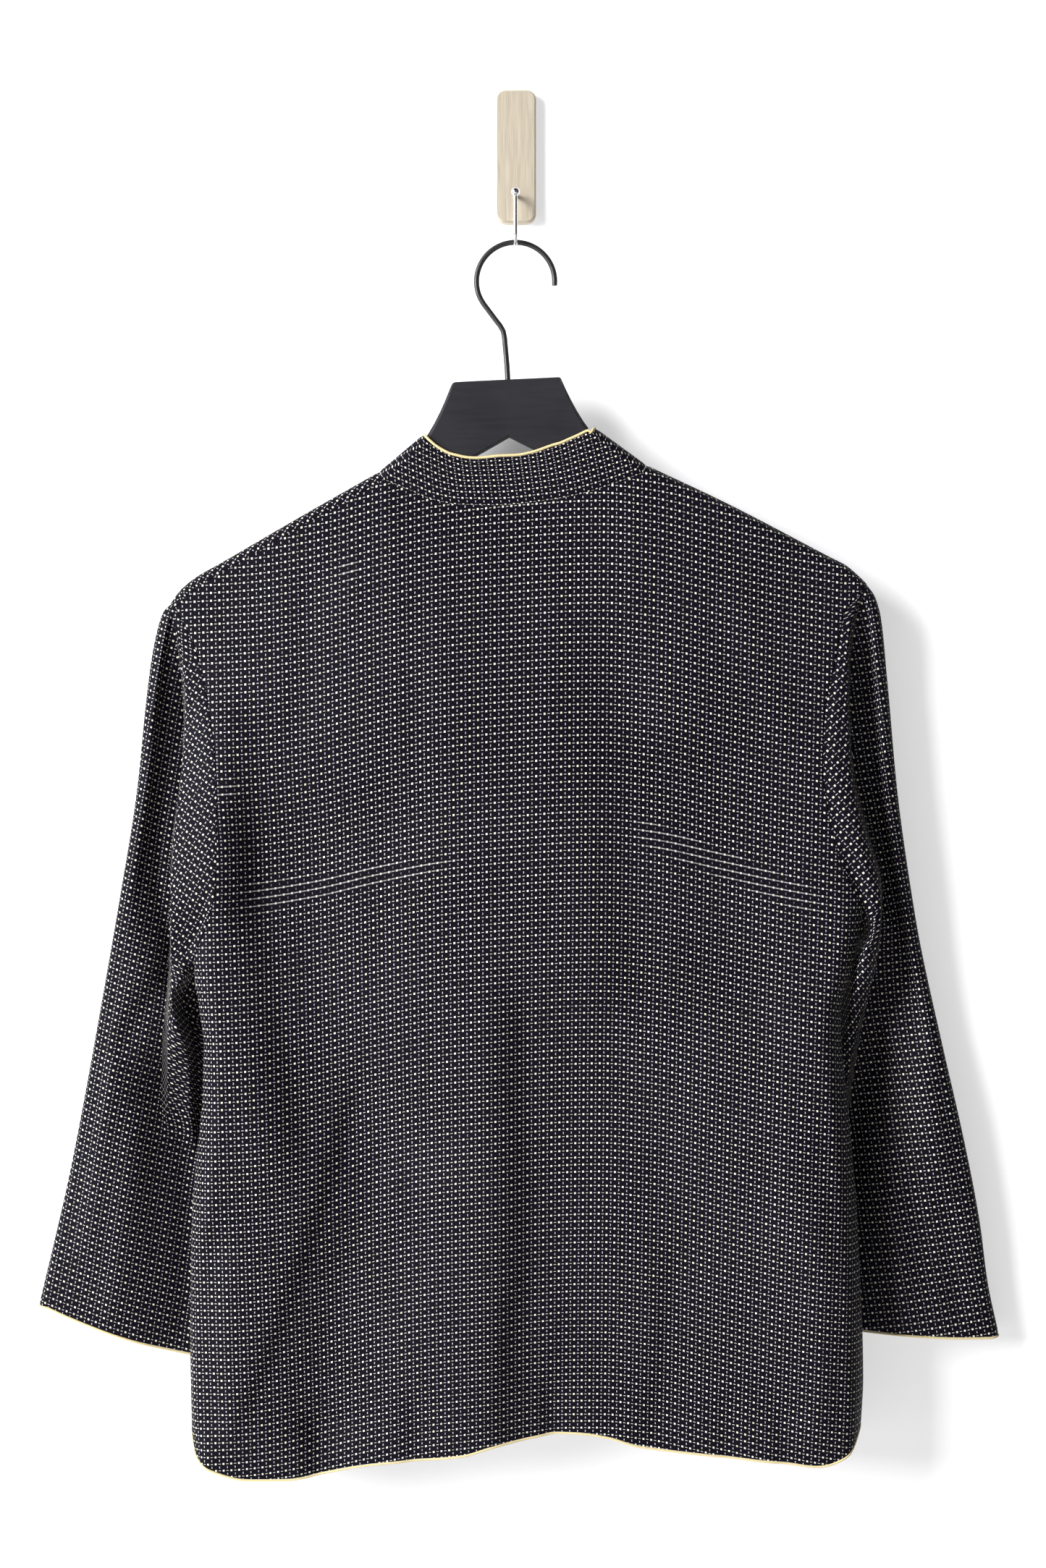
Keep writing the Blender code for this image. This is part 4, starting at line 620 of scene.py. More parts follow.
def sleeve_sheet(side, back, front, wrap):
    """Points of a sleeve: rows from shoulder to cuff, each from the inner fold round the outer one and back.

    Above the underarm a row's two ends are the armhole seam, and below it they meet in the inner fold.
    """
    edge = back[0] if side is LEFT else back[-1]
    room_seam, wall_seam = edge[SIDE_ROWS:][::-1], front[0][SIDE_ROWS:][::-1]
    crowd = (np.arange(1, SLEEVE_LOW_ROWS + 1) / SLEEVE_LOW_ROWS) ** SLEEVE_CROWDING
    top_z, cuff_z = room_seam[0, 2], side.inner[-1].z
    low_z = mix(side.underarm_z, cuff_z, crowd)
    inner_z = np.concatenate((room_seam[:, 2], low_z))
    low_inner = np.stack([through(side.inner, "z", axis, low_z) for axis in ("x", "y")] + [low_z], axis=-1)
    room_end = np.concatenate((room_seam, low_inner))[:, None]
    wall_end = np.concatenate((wall_seam, low_inner))[:, None]

    share = (top_z - inner_z) / (top_z - cuff_z)
    outer_z = inner_z + (side.sleeve[-1].z - cuff_z) * share**2
    above = (top_z - inner_z) / (top_z - side.underarm_z)
    below = (side.underarm_z - inner_z) / (side.underarm_z - cuff_z)
    lie = np.where(inner_z >= side.underarm_z, above, 1 + below)
    section = {name: through(SLEEVE_SECTIONS, "share", name, lie)[:, None] for name in Section._fields}
    returned = ease((lie - FOLD_BACK_END) / FOLD_BACK_EASE)
    set_back = side.fold_back * ease(lie / FOLD_BACK_EASE) * (1 - returned)
    outer, out = outer_fold(side, outer_z)
    fold = wrap_points(outer, out, WRAP_DROP, section["outer_y"][:, 0] + set_back,
                       section["outer_half"][:, 0], wrap_turns())
    room_start, wall_start = fold[:, -1][:, None], fold[:, 0][:, None]

    t = SLEEVE_COLUMNS
    droop = side.cuff_droop * share[:, None] ** 2 * 4 * t * (1 - t)
    closed = ease(4 * lie - 3)[:, None]
    open_end = 1 - ease(t / RIDGE_REACH)
    nose_x = np.where(inner_z < side.underarm_z, through(side.nose, "z", "x", inner_z), room_end[:, 0, 0])
    beyond = np.clip((t - SLEEVE_BULGE_START) / (1 - SLEEVE_BULGE_START), 0, 1)
    bulge = section["bulge"] * np.sin(np.pi * beyond)
    spread = ease(beyond)

    def half(start, finish, inner_y, forward, closed_end):
        x = mix(finish[..., 0], start[..., 0], t)
        z = mix(finish[..., 2], start[..., 2], t) - droop
        y = mix(inner_y, start[..., 1], spread) - forward
        y = y + (finish[..., 1] - inner_y) * mix(open_end, closed_end(x), closed)
        return join(x, y, z)

    tucked_y = np.where(closed > 0, wall_end[..., 1] + SLEEVE_ROOM, section["wall_inner"])
    wall_inner = np.maximum(section["wall_inner"], mix(section["wall_inner"], tucked_y, closed))
    room = half(room_start, room_end, section["room_inner"], bulge,
                lambda x: 1 - ease(side.sign * (x - nose_x[:, None]) / NOSE_WIDTH))
    wall = half(wall_start, wall_end, np.minimum(wall_inner, SLEEVE_WALL_Y), 0.0,
                lambda x: rounded(1 - t / WALL_NOSE))
    room[..., 1] += sleeve_valley(side, room) * (1 - ease((t - FOLD_CALM) / (1 - FOLD_CALM)))
    room[..., 1] -= crease_rise(SLEEVE_CREASES[side.name], room[..., 0], room[..., 2]) * calm_ends(t)
    wall[..., 1] += crease_rise(SLEEVE_WALL_CREASES[side.name], wall[..., 0], wall[..., 2]) * calm_ends(t)
    room[..., 1] = np.minimum(room[..., 1], wall[..., 1] - SLEEVE_ROOM * ease(t / WALL_NOSE))
    rows = np.concatenate((room, fold[:, ::-1][:, 1:-1], wall[:, ::-1]), axis=1)
    rows[:, 0], rows[:, -1] = room_end[:, 0], wall_end[:, 0]
    rows[0, :len(t)] = room_seam[0]
    rows[0, -len(t):] = wall_seam[0]
    rows[0, len(t) - 1:-len(t) + 1] = wrap[0][::-1]
    return rows


def calm_ends(t):
    """0 at both ends of a row's half and 1 between them."""
    return ease(t / END_CALM) * ease((1 - t) / END_CALM)


def sleeve_valley(side, points):
    """How far the long valley of a sleeve sets its cloth back, and the raised cloth beside it forward."""
    x, z = points[..., 0], points[..., 2]
    out = side.sign * (x - through(side.valley, "z", "x", z))
    step = through(side.valley, "z", "step", z)
    beyond = np.clip(1 - out / side.valley_reach, 0, 1) ** VALLEY_POWER
    fall = np.where(out < 0, 1 - ease(-out / step), beyond)
    depth = through(side.valley, "z", "depth", z) * fall
    raised = through(side.valley, "z", "raised", z) * np.exp(-((out + RAISED_FROM) / RAISED_WIDTH) ** 2)
    return (depth - raised) * ease(side.sign * (x - x[:, :1]) / SEAM_CALM)


def run_from(steps, start):
    """Length of the steps along each row, from its start column and negative before it."""
    before = -np.cumsum(steps[:, :start][:, ::-1], axis=1)[:, ::-1]
    return np.concatenate((before, np.zeros((len(steps), 1)), np.cumsum(steps[:, start:], axis=1)), axis=1)


def back_repeat(grid):
    """Where each point of the back lies in the woven repeat: columns and rows."""
    x, z = grid[..., 0], grid[..., 2]
    step = np.hypot(np.diff(x, axis=0), np.diff(grid[..., 1], axis=0))
    edge = np.minimum(x - x[0], x[-1] - x)
    gain = np.where(np.minimum(edge[:-1], edge[1:]) < SIDE_ROUND, step - np.abs(np.diff(x, axis=0)), 0.0)
    flat = x + run_from(gain.T, len(x) // 2).T
    (width, height), (wider, higher) = BACK_REPEAT, BACK_REPEAT_GROWTH
    columns = flat / (width + wider * (z - REPEAT_Z))
    pitch = height + higher * (z + through(ROW_DROOP, "x", "down", flat) - REPEAT_Z)
    return join(columns, np.log(pitch) / higher)


def front_repeat(grid):
    return join(grid[..., 0] / FRONT_REPEAT[0], grid[..., 2] / FRONT_REPEAT[1])


def onward_repeat(start, grid, out, pitch):
    """Places in the repeat that run on over the shoulder, as if laid flat from a piece's top edge."""
    run = run_from(np.linalg.norm(np.diff(grid, axis=1), axis=-1), 0)
    return start[:, None] + out[:, None] * run[..., None] / np.array(pitch)


def collar_repeat(grid):
    """Columns of the collar lean a little, and its rows lie closer together at the top of the centre back."""
    middle = grid.shape[1] // 2
    steps = np.linalg.norm(np.diff(grid, axis=1), axis=-1)
    flat = grid[:, middle:middle + 1, 0] + run_from(steps, middle)
    height = np.linalg.norm(grid - grid[0], axis=-1)
    near = np.exp(-((grid[..., 0] - SQUEEZE_X) / SQUEEZE_HALF) ** 4)
    squeeze = COLLAR_SQUEEZE * np.where(grid[..., 1] < HANG_Y, near, 0.0)
    closer = squeeze * height / height[-1]
    gain = np.where(squeeze > 0.01, -np.log(1 - closer) / np.maximum(closer, 1e-9), 1.0)
    rows = height / COLLAR_REPEAT[1] * gain
    rows[0] = 0.0
    columns = (flat + COLLAR_LEAN * height) / COLLAR_REPEAT[0] + COLLAR_START
    return join(columns, rows)


def turned(across, z, repeat):
    """Place in a repeat that is given by one step across and one step down."""
    return join(across, z) @ np.linalg.inv(np.array(repeat).T).T


def sleeve_repeat(side, grid):
    """Place in the repeat on a sleeve, laid flat both ways from the outer fold. The raised cloth beside the
    armhole lies turned, and is laid flat from the seam as far as the long valley."""
    fold = len(SLEEVE_COLUMNS) - 1
    x, z = grid[..., 0], grid[..., 2]
    steps = np.hypot(np.diff(x, axis=1), np.diff(grid[..., 1], axis=1))
    place = turned(x[:, fold:fold + 1] + side.sign * run_from(steps, fold), z, side.repeat)
    raised = turned(x[:, :1] + side.sign * run_from(steps, 0), z, side.raised_repeat)
    out = side.sign * (x - through(side.valley, "z", "x", z))
    step = through(side.valley, "z", "step", z)
    row = np.argmin(np.abs(z[:, 0] - RAISED_START_Z))
    column = np.argmin(np.abs(out[row, :fold] + step[row, :fold] / 2))
    raised += (place - raised)[row, column]
    share = ease(-out / (step * TURN_SHARE)) * ease(through(side.valley, "z", "depth", z) / FULL_TURN_DEPTH)
    share[:, fold:] = 0.0
    return mix(place, raised, share[..., None])


def whole_steps(points):
    return np.round(points * SAME_POINT).astype(np.int64)


class Cloth:
    """The whole garment as one surface of labelled triangles, from which each piece is cut as a wall."""

    def __init__(self, sheets):
        """Each sheet has a label, a grid of points, their places in the repeat, and a part of it with the way
        that this part faces."""
        flat = np.concatenate([grid.reshape(-1, 3) for _, grid, _, _ in sheets])
        _, first, ids = np.unique(whole_steps(flat), axis=0, return_index=True, return_inverse=True)
        self.points = flat[first]
        ids = ids.reshape(-1)
        thirds, places, labels, start = [], [], [], 0
        for label, grid, repeat, (part, facing) in sheets:
            rows, columns = grid.shape[:2]
            own = ids[start:start + rows * columns].reshape(rows, columns)
            start += rows * columns
            quads, corners = self.cells(own), self.cells(repeat)
            spans = self.points[quads]
            normals = np.cross(spans[:, 2] - spans[:, 0], spans[:, 3] - spans[:, 1])
            inside = np.zeros((rows - 1, columns - 1), dtype=bool)
            inside[part] = True
            if np.dot(normals[inside.ravel()].sum(axis=0), facing) < 0:
                quads, corners = quads[:, ::-1], corners[:, ::-1]
                spans = spans[:, ::-1]
            short = (np.linalg.norm(spans[:, 0] - spans[:, 2], axis=1)
                     <= np.linalg.norm(spans[:, 1] - spans[:, 3], axis=1))
            for split, turn in ((short, 0), (~short, 1)):
                quad, corner = np.roll(quads[split], -turn, axis=1), np.roll(corners[split], -turn, axis=1)
                for pick in ((0, 1, 2), (0, 2, 3)):
                    thirds.append(quad[:, pick])
                    places.append(corner[:, pick])
                    labels += [label] * len(quad)
        thirds = np.concatenate(thirds)
        a, b, c = thirds.T
        whole = (a != b) & (b != c) & (c != a)
        self.thirds, self.places = thirds[whole], np.concatenate(places)[whole]
        self.labels = np.array(labels)[whole]
        self.settle()

    @staticmethod
    def cells(grid):
        """Four corners of every cell of a grid."""
        corners = np.stack((grid[:-1, :-1], grid[:-1, 1:], grid[1:, 1:], grid[1:, :-1]), axis=2)
        return corners.reshape(-1, 4, *grid.shape[2:])

    def settle(self):
        """Outward direction at each point, softened so that tight bends keep an even wall."""
        spans = self.points[self.thirds]
        faces = np.cross(spans[:, 1] - spans[:, 0], spans[:, 2] - spans[:, 0])
        self.normals = np.zeros_like(self.points)
        for k in range(3):
            np.add.at(self.normals, self.thirds[:, k], faces)
        self.normals = unit(self.normals)
        for _ in range(NORMAL_SOFTENING):
            mean = self.normals[self.thirds].mean(axis=1)
            sums = self.normals.copy()
            for k in range(3):
                np.add.at(sums, self.thirds[:, k], mean)
            self.normals = unit(sums)

    def wall(self, label, material):
        """One named piece: outer side, inner side and the edges between them."""
        mine = self.labels == label
        used, own = np.unique(self.thirds[mine], return_inverse=True)
        thirds, places = own.reshape(-1, 3), self.places[mine]
        count = len(used)
        edges = np.concatenate([thirds[:, (0, 1)], thirds[:, (1, 2)], thirds[:, (2, 0)]])
        third_points = np.concatenate([thirds[:, 2], thirds[:, 0], thirds[:, 1]])
        edge_places = np.concatenate([places[:, (0, 1)], places[:, (1, 2)], places[:, (2, 0)]])
        codes, back_codes = edges[:, 0] * count + edges[:, 1], edges[:, 1] * count + edges[:, 0]
        border = ~np.isin(codes, back_codes)
        edges, third_points, edge_places = edges[border], third_points[border], edge_places[border]

        points = self.points[used]
        run = unit(points[edges[:, 1]] - points[edges[:, 0]])
        inward = points[third_points] - points[edges[:, 0]]
        inward = unit(inward - run * np.sum(inward * run, axis=1, keepdims=True))
        shift = np.zeros((count, 3))
        for k in range(2):
            np.add.at(shift, edges[:, k], inward)
        lengths = np.linalg.norm(shift, axis=1)
        pulled = lengths > 0
        lengths = lengths[pulled]
        shift[pulled] *= (SEAM_GAP / 2 * np.clip(2 / lengths, 1, MITRE_LIMIT) / lengths)[:, None]
        normals = self.normals[used]
        outer = points + shift
        outer[pulled] -= normals[pulled] * SEAM_DIP
        inner = points + shift - normals * CLOTH

        a, b = edges.T
        faces = np.concatenate((thirds, thirds[:, ::-1] + count, np.stack((b, a, a + count), axis=1),
                                np.stack((b, a + count, b + count), axis=1)))
        rim_a, rim_b = edge_places[:, 0], edge_places[:, 1]
        uvs = np.concatenate((places, places[:, ::-1], np.stack((rim_b, rim_a, rim_a), axis=1),
                              np.stack((rim_b, rim_a, rim_b), axis=1)))
        return solid(label + "_cloth", np.concatenate((outer, inner)), faces, material, 50.0, uvs)

    def normals_at(self, points):
        """Outward direction at points of the surface."""
        keys = {tuple(key): k for k, key in enumerate(whole_steps(self.points))}
        return self.normals[[keys[tuple(key)] for key in whole_steps(np.asarray(points))]]


def solid(name, points, faces, material, sharp=50.0, uvs=None):
    """Make one named object from points and faces."""
    mesh = bpy.data.meshes.new(name)
    mesh.from_pydata(np.asarray(points).tolist(), [], [list(face) for face in faces])
    if uvs is not None:
        layer = mesh.uv_layers.new(name="repeat")
        layer.data.foreach_set("uv", np.ascontiguousarray(uvs, dtype=np.float32).ravel())
    mesh.materials.append(material)
    mesh.shade_smooth()
    mesh.set_sharp_from_angle(angle=math.radians(sharp))
    obj = bpy.data.objects.new(name, mesh)
    bpy.context.collection.objects.link(obj)
    return obj


def face_outward(obj):
    mesh = bmesh.new()
    mesh.from_mesh(obj.data)
    bmesh.ops.recalc_face_normals(mesh, faces=mesh.faces[:])
    mesh.to_mesh(obj.data)
    mesh.free()
    return obj


def tube(name, path, radii, up, material, sides=8, closed=False):
    """A round tube along a path; up gives a direction across the path at each of its points."""
    path = np.asarray(path, dtype=float)
    run = unit(np.roll(path, -1, axis=0) - np.roll(path, 1, axis=0) if closed else np.gradient(path, axis=0))
    up = np.broadcast_to(np.asarray(up, dtype=float), path.shape)
    across = unit(up - run * np.sum(up * run, axis=1, keepdims=True))
    other = np.cross(run, across)
    radii = np.broadcast_to(np.asarray(radii, dtype=float), (len(path),))
    turns = np.arange(sides + 1) * 2 * math.pi / sides
    round_it = (np.cos(turns[:-1])[None, :, None] * across[:, None]
                + np.sin(turns[:-1])[None, :, None] * other[:, None])
    points = (path[:, None] + radii[:, None, None] * round_it).reshape(-1, 3)
    length = np.concatenate(([0.0], np.cumsum(np.linalg.norm(np.diff(path, axis=0), axis=1))))
    rings = len(path)
    faces, uvs = [], []
    for r in range(rings if closed else rings - 1):
        here, there = r * sides, (r + 1) % rings * sides
        low = length[r]
        high = length[r + 1] if r + 1 < rings else length[r] + np.linalg.norm(path[0] - path[-1])
        for c in range(sides):
            n = (c + 1) % sides
            faces.append([here + c, here + n, there + n, there + c])
            uvs += [(low, c / sides), (low, (c + 1) / sides), (high, (c + 1) / sides), (high, c / sides)]
    if not closed:
        faces.append(list(range(sides))[::-1])
        faces.append([(rings - 1) * sides + c for c in range(sides)])
        uvs += [(0.0, 0.0)] * sides + [(length[-1], 0.0)] * sides
    return face_outward(solid(name, points, faces, material, 60.0, np.array(uvs)))


def edge_path(cloth, edge, inside, radius, corners=()):
    """Centre line of a strip laid along a free edge, clear of the wall by the seam gap."""
    out = unit(np.asarray(edge) - np.asarray(inside))
    reach = np.full(len(edge), radius)
    for corner in corners:
        reach[corner] *= math.sqrt(2)
    normals = cloth.normals_at(edge)
    return np.asarray(edge) + out * reach[:, None] - normals * CLOTH / 2, normals


class Nodes:
    """A material's node tree, with short calls for the nodes that the finishes share."""

    def __init__(self, name, colour, roughness, metallic=0.0):
        self.material = bpy.data.materials.new(name)
        self.material.use_nodes = True
        self.tree = self.material.node_tree
        self.shader = self.tree.nodes["Principled BSDF"]
        self.shader.inputs["Base Color"].default_value = (*colour, 1.0)
        self.shader.inputs["Roughness"].default_value = roughness
        self.shader.inputs["Metallic"].default_value = metallic
        self.material.diffuse_color = (*colour, 1.0)

    def link(self, value, socket):
        if isinstance(value, bpy.types.NodeSocket):
            self.tree.links.new(value, socket)
        elif value is not None:
            socket.default_value = value

    def node(self, kind, inputs=(), **settings):
        node = self.tree.nodes.new("ShaderNode" + kind)
        for key, value in settings.items():
            setattr(node, key, value)
        for key, value in dict(inputs).items():
            self.link(value, node.inputs[key])
        return node

    def maths(self, operation, a, b=None, c=None):
        return self.node("Math", {0: a, 1: b, 2: c}, operation=operation).outputs[0]

    def vector(self, operation, a, b=None):
        return self.node("VectorMath", {0: a, 1: b}, operation=operation).outputs[0]

    def times(self, a, b):
        return self.maths("MULTIPLY", a, b)

    def split(self, vector):
        return self.node("SeparateXYZ", {0: vector}).outputs

    def fade(self, value, start, stop, low=1.0, high=0.0):
        """Smooth change from low to high while value goes from start to stop."""
        return self.node("MapRange", {"Value": value, 1: start, 2: stop, 3: low, 4: high},
                         interpolation_type="SMOOTHSTEP").outputs[0]

    def mix(self, share, a, b):
        node = self.node("Mix", {"Factor": share, "A": None, "B": None}, data_type="RGBA")
        for socket, value in ((node.inputs[6], a), (node.inputs[7], b)):
            self.link(value, socket)
        return node.outputs[2]

    def noise(self, place, scale, detail=2.0, roughness=0.5):
        return self.node("TexNoise", {"Vector": place, "Scale": scale, "Detail": detail,
                                      "Roughness": roughness}).outputs[0]

    def bump(self, height, distance, strength=1.0):
        bump = self.node("Bump", {"Height": height, "Distance": distance, "Strength": strength})
        self.link(bump.outputs[0], self.shader.inputs["Normal"])


# Silk: half width and half height of each mark in shares of a repeat, how soft its edges are, and colours
DASH, UPRIGHT, SQUARE = (0.142, 0.042), (0.044, 0.138), (0.112, 0.130)
MARK_EDGE = 0.02
DARK_GROUND, LIGHT_GROUND = (0.0040, 0.0029, 0.0070, 1), (0.0062, 0.0049, 0.0100, 1)
WHITE_THREAD, CREAM_THREAD = (0.64, 0.635, 0.66, 1), (0.91, 0.885, 0.73, 1)
FAINT_SHARE, FAINT_STRENGTH = 0.35, 0.66       # about how many marks are fainter, and the faintest of them
WORN_SMEAR, WORN_UPRIGHT, WORN_SQUARE, WORN_DASH = 0.34, -0.65, -0.30, -0.10    # what wear adds to each


def silk_material():
    """Near-black silk with a woven repeat: a white dash on each row and column, a cream square beside it
    on the row, and a white upright dash between rows. Worn rows are smeared into a dim line."""
    silk = Nodes("silk", (0.012, 0.012, 0.017), 0.62)
    place = silk.node("UVMap", uv_map="repeat").outputs[0]
    on_line = silk.vector("ABSOLUTE", silk.vector("SUBTRACT", silk.vector("FRACTION", silk.vector(
        "ADD", place, (0.5, 0.5, 0.0))), (0.5, 0.5, 0.0)))
    from_middle = silk.vector("SUBTRACT", silk.vector("FRACTION", place), (0.5, 0.5, 0.0))
    between = silk.vector("ABSOLUTE", from_middle)
    line_a, line_b, _ = silk.split(on_line)
    gap_a, gap_b, _ = silk.split(between)

    def mark(a, b, half_a, half_b):
        return silk.times(silk.fade(a, half_a - MARK_EDGE, half_a + MARK_EDGE),
                          silk.fade(b, half_b - MARK_EDGE, half_b + MARK_EDGE))

    flat_dash = mark(line_a, line_b, *DASH)
    upright = mark(line_a, gap_b, *UPRIGHT)
    square = mark(gap_a, line_b, *SQUARE)
    cell = silk.vector("FLOOR", silk.vector("ADD", place, (0.25, 0.25, 0.0)))
    chance = silk.node("TexWhiteNoise", {"Vector": cell}, noise_dimensions="3D").outputs[0]
    strength = silk.fade(chance, 0.0, FAINT_SHARE, FAINT_STRENGTH, 1.0)

    where = silk.node("TexCoord").outputs["Object"]
    x, y, z = silk.split(where)
    ragged = silk.maths("MULTIPLY_ADD", silk.noise(where, 90.0, 2.0), 0.8, -0.4)

    def worn_band(slope, level, x_from, x_to, half_from, half_to):
        """1 inside a sloping band of worn cloth on the back, with ragged edges."""
        off = silk.maths("ABSOLUTE", silk.maths("SUBTRACT", z, silk.maths("MULTIPLY_ADD", x, slope, level)))
        half = silk.node("MapRange", {"Value": x, 1: x_from, 2: x_to, 3: half_from, 4: half_to}).outputs[0]
        inside = silk.fade(silk.maths("ADD", silk.maths("DIVIDE", off, half), ragged), 0.8, 1.2)
        ends = silk.times(silk.fade(x, x_from - 0.006, x_from + 0.006, 0.0, 1.0),
                          silk.fade(x, x_to - 0.012, x_to + 0.012))
        return silk.times(inside, ends)

    worn = silk.maths("MAXIMUM", worn_band(*LEFT_WEAR), worn_band(*RIGHT_WEAR))
    for spot in WORN_SPOTS:
        flat = silk.vector("MULTIPLY", where, (1, 0, 1))
        far = silk.node("VectorMath", {0: flat, 1: spot}, operation="DISTANCE").outputs[1]
        near = silk.fade(silk.maths("MULTIPLY_ADD", ragged, 0.008, far), 0.004, 0.010)
        worn = silk.maths("MAXIMUM", worn, near)
    worn = silk.times(worn, silk.fade(y, -0.037, -0.034))
    smear = silk.times(silk.fade(line_b, 0.04, 0.12), silk.times(worn, WORN_SMEAR))

    def wear(mark, change):
        return silk.times(mark, silk.maths("MULTIPLY_ADD", worn, change, 1.0))

    upright, square = wear(upright, WORN_UPRIGHT), wear(square, WORN_SQUARE)
    flat_dash = wear(flat_dash, WORN_DASH)

    cloudy = silk.noise(where, 9.0, 3.0)
    ground = silk.mix(silk.fade(cloudy, 0.3, 0.7, 0.0, 1.0), DARK_GROUND, LIGHT_GROUND)
    dash = silk.maths("MAXIMUM", silk.maths("MAXIMUM", flat_dash, upright), smear)
    colour = silk.mix(silk.times(dash, strength), ground, WHITE_THREAD)
    colour = silk.mix(silk.times(square, strength), colour, CREAM_THREAD)
    silk.link(colour, silk.shader.inputs["Base Color"])
    silk.shader.inputs["Specular IOR Level"].default_value = 0.06
    silk.shader.inputs["Sheen Weight"].default_value = 0.02
    silk.shader.inputs["Sheen Roughness"].default_value = 0.4
    threads = silk.maths("MAXIMUM", dash, square)
    weave = silk.noise(silk.vector("MULTIPLY", place, (14.0, 14.0, 1.0)), 1.0, 1.0)
    silk.bump(silk.maths("ADD", threads, silk.times(weave, 0.35)), 0.00012, 0.6)
    return silk.material


def cream_material():
    """Pale cream cord with a fine twist."""
    cream = Nodes("cream", (0.86, 0.72, 0.36), 0.55)
    place = cream.split(cream.node("UVMap", uv_map="repeat").outputs[0])
    twist = cream.maths("ADD", cream.times(place[0], 1500.0), place[1])
    wave = cream.maths("SINE", cream.times(twist, 2 * math.pi))
    colour = cream.mix(cream.fade(wave, -1.0, 1.0, 0.0, 1.0), (0.78, 0.60, 0.26, 1), (0.92, 0.80, 0.46, 1))
    cream.link(colour, cream.shader.inputs["Base Color"])
    cream.bump(wave, 0.00015, 0.5)
    return cream.material


def wood_material():
    """Matte black paint over fine grain, a little lighter where it is rubbed."""
    wood = Nodes("black_wood", (0.016, 0.015, 0.019), 0.62)
    where = wood.node("TexCoord").outputs["Object"]
    grain = wood.noise(wood.vector("MULTIPLY", where, (30.0, 300.0, 300.0)), 1.0, 3.0)
    cloudy = wood.noise(where, 25.0, 2.0)
    colour = wood.mix(wood.fade(cloudy, 0.3, 0.7, 0.0, 1.0), (0.0148, 0.0140, 0.0180, 1),
                      (0.0208, 0.0199, 0.0250, 1))
    wood.link(colour, wood.shader.inputs["Base Color"])
    wood.link(wood.fade(grain, 0.3, 0.7, 0.50, 0.68), wood.shader.inputs["Roughness"])
    wood.shader.inputs["Specular IOR Level"].default_value = 0.25
    wood.bump(grain, 0.0002, 0.25)
    return wood.material


def wire_material():
    wire = Nodes("black_wire", (0.020, 0.020, 0.022), 0.38)
    where = wire.node("TexCoord").outputs["Object"]
    wire.link(wire.fade(wire.noise(where, 90.0), 0.3, 0.7, 0.28, 0.46), wire.shader.inputs["Roughness"])
    return wire.material


def chrome_material():
    chrome = Nodes("polished_chrome", (0.72, 0.71, 0.70), 0.14, 1.0)
    where = chrome.node("TexCoord").outputs["Object"]
    cloudy = chrome.noise(where, 120.0)
    chrome.link(chrome.fade(cloudy, 0.3, 0.7, 0.10, 0.20), chrome.shader.inputs["Roughness"])
    return chrome.material


def nickel_material():
    """Warm brushed nickel, with fine upright brushing."""
    nickel = Nodes("nickel", (0.72, 0.635, 0.50), 0.42, 0.45)
    where = nickel.node("TexCoord").outputs["Object"]
    brushed = nickel.noise(nickel.vector("MULTIPLY", where, (2600.0, 2600.0, 40.0)), 1.0, 2.0)
    share = nickel.fade(brushed, 0.3, 0.7, 0.0, 1.0)
    colour = nickel.mix(share, (0.66, 0.58, 0.455, 1), (0.78, 0.69, 0.55, 1))
    nickel.link(colour, nickel.shader.inputs["Base Color"])
    nickel.link(nickel.fade(brushed, 0.3, 0.7, 0.36, 0.50), nickel.shader.inputs["Roughness"])
    nickel.bump(brushed, 0.00005, 0.2)
    return nickel.material


PANELS = ("back", "front_left", "front_right", "sleeve_left", "sleeve_right", "collar")


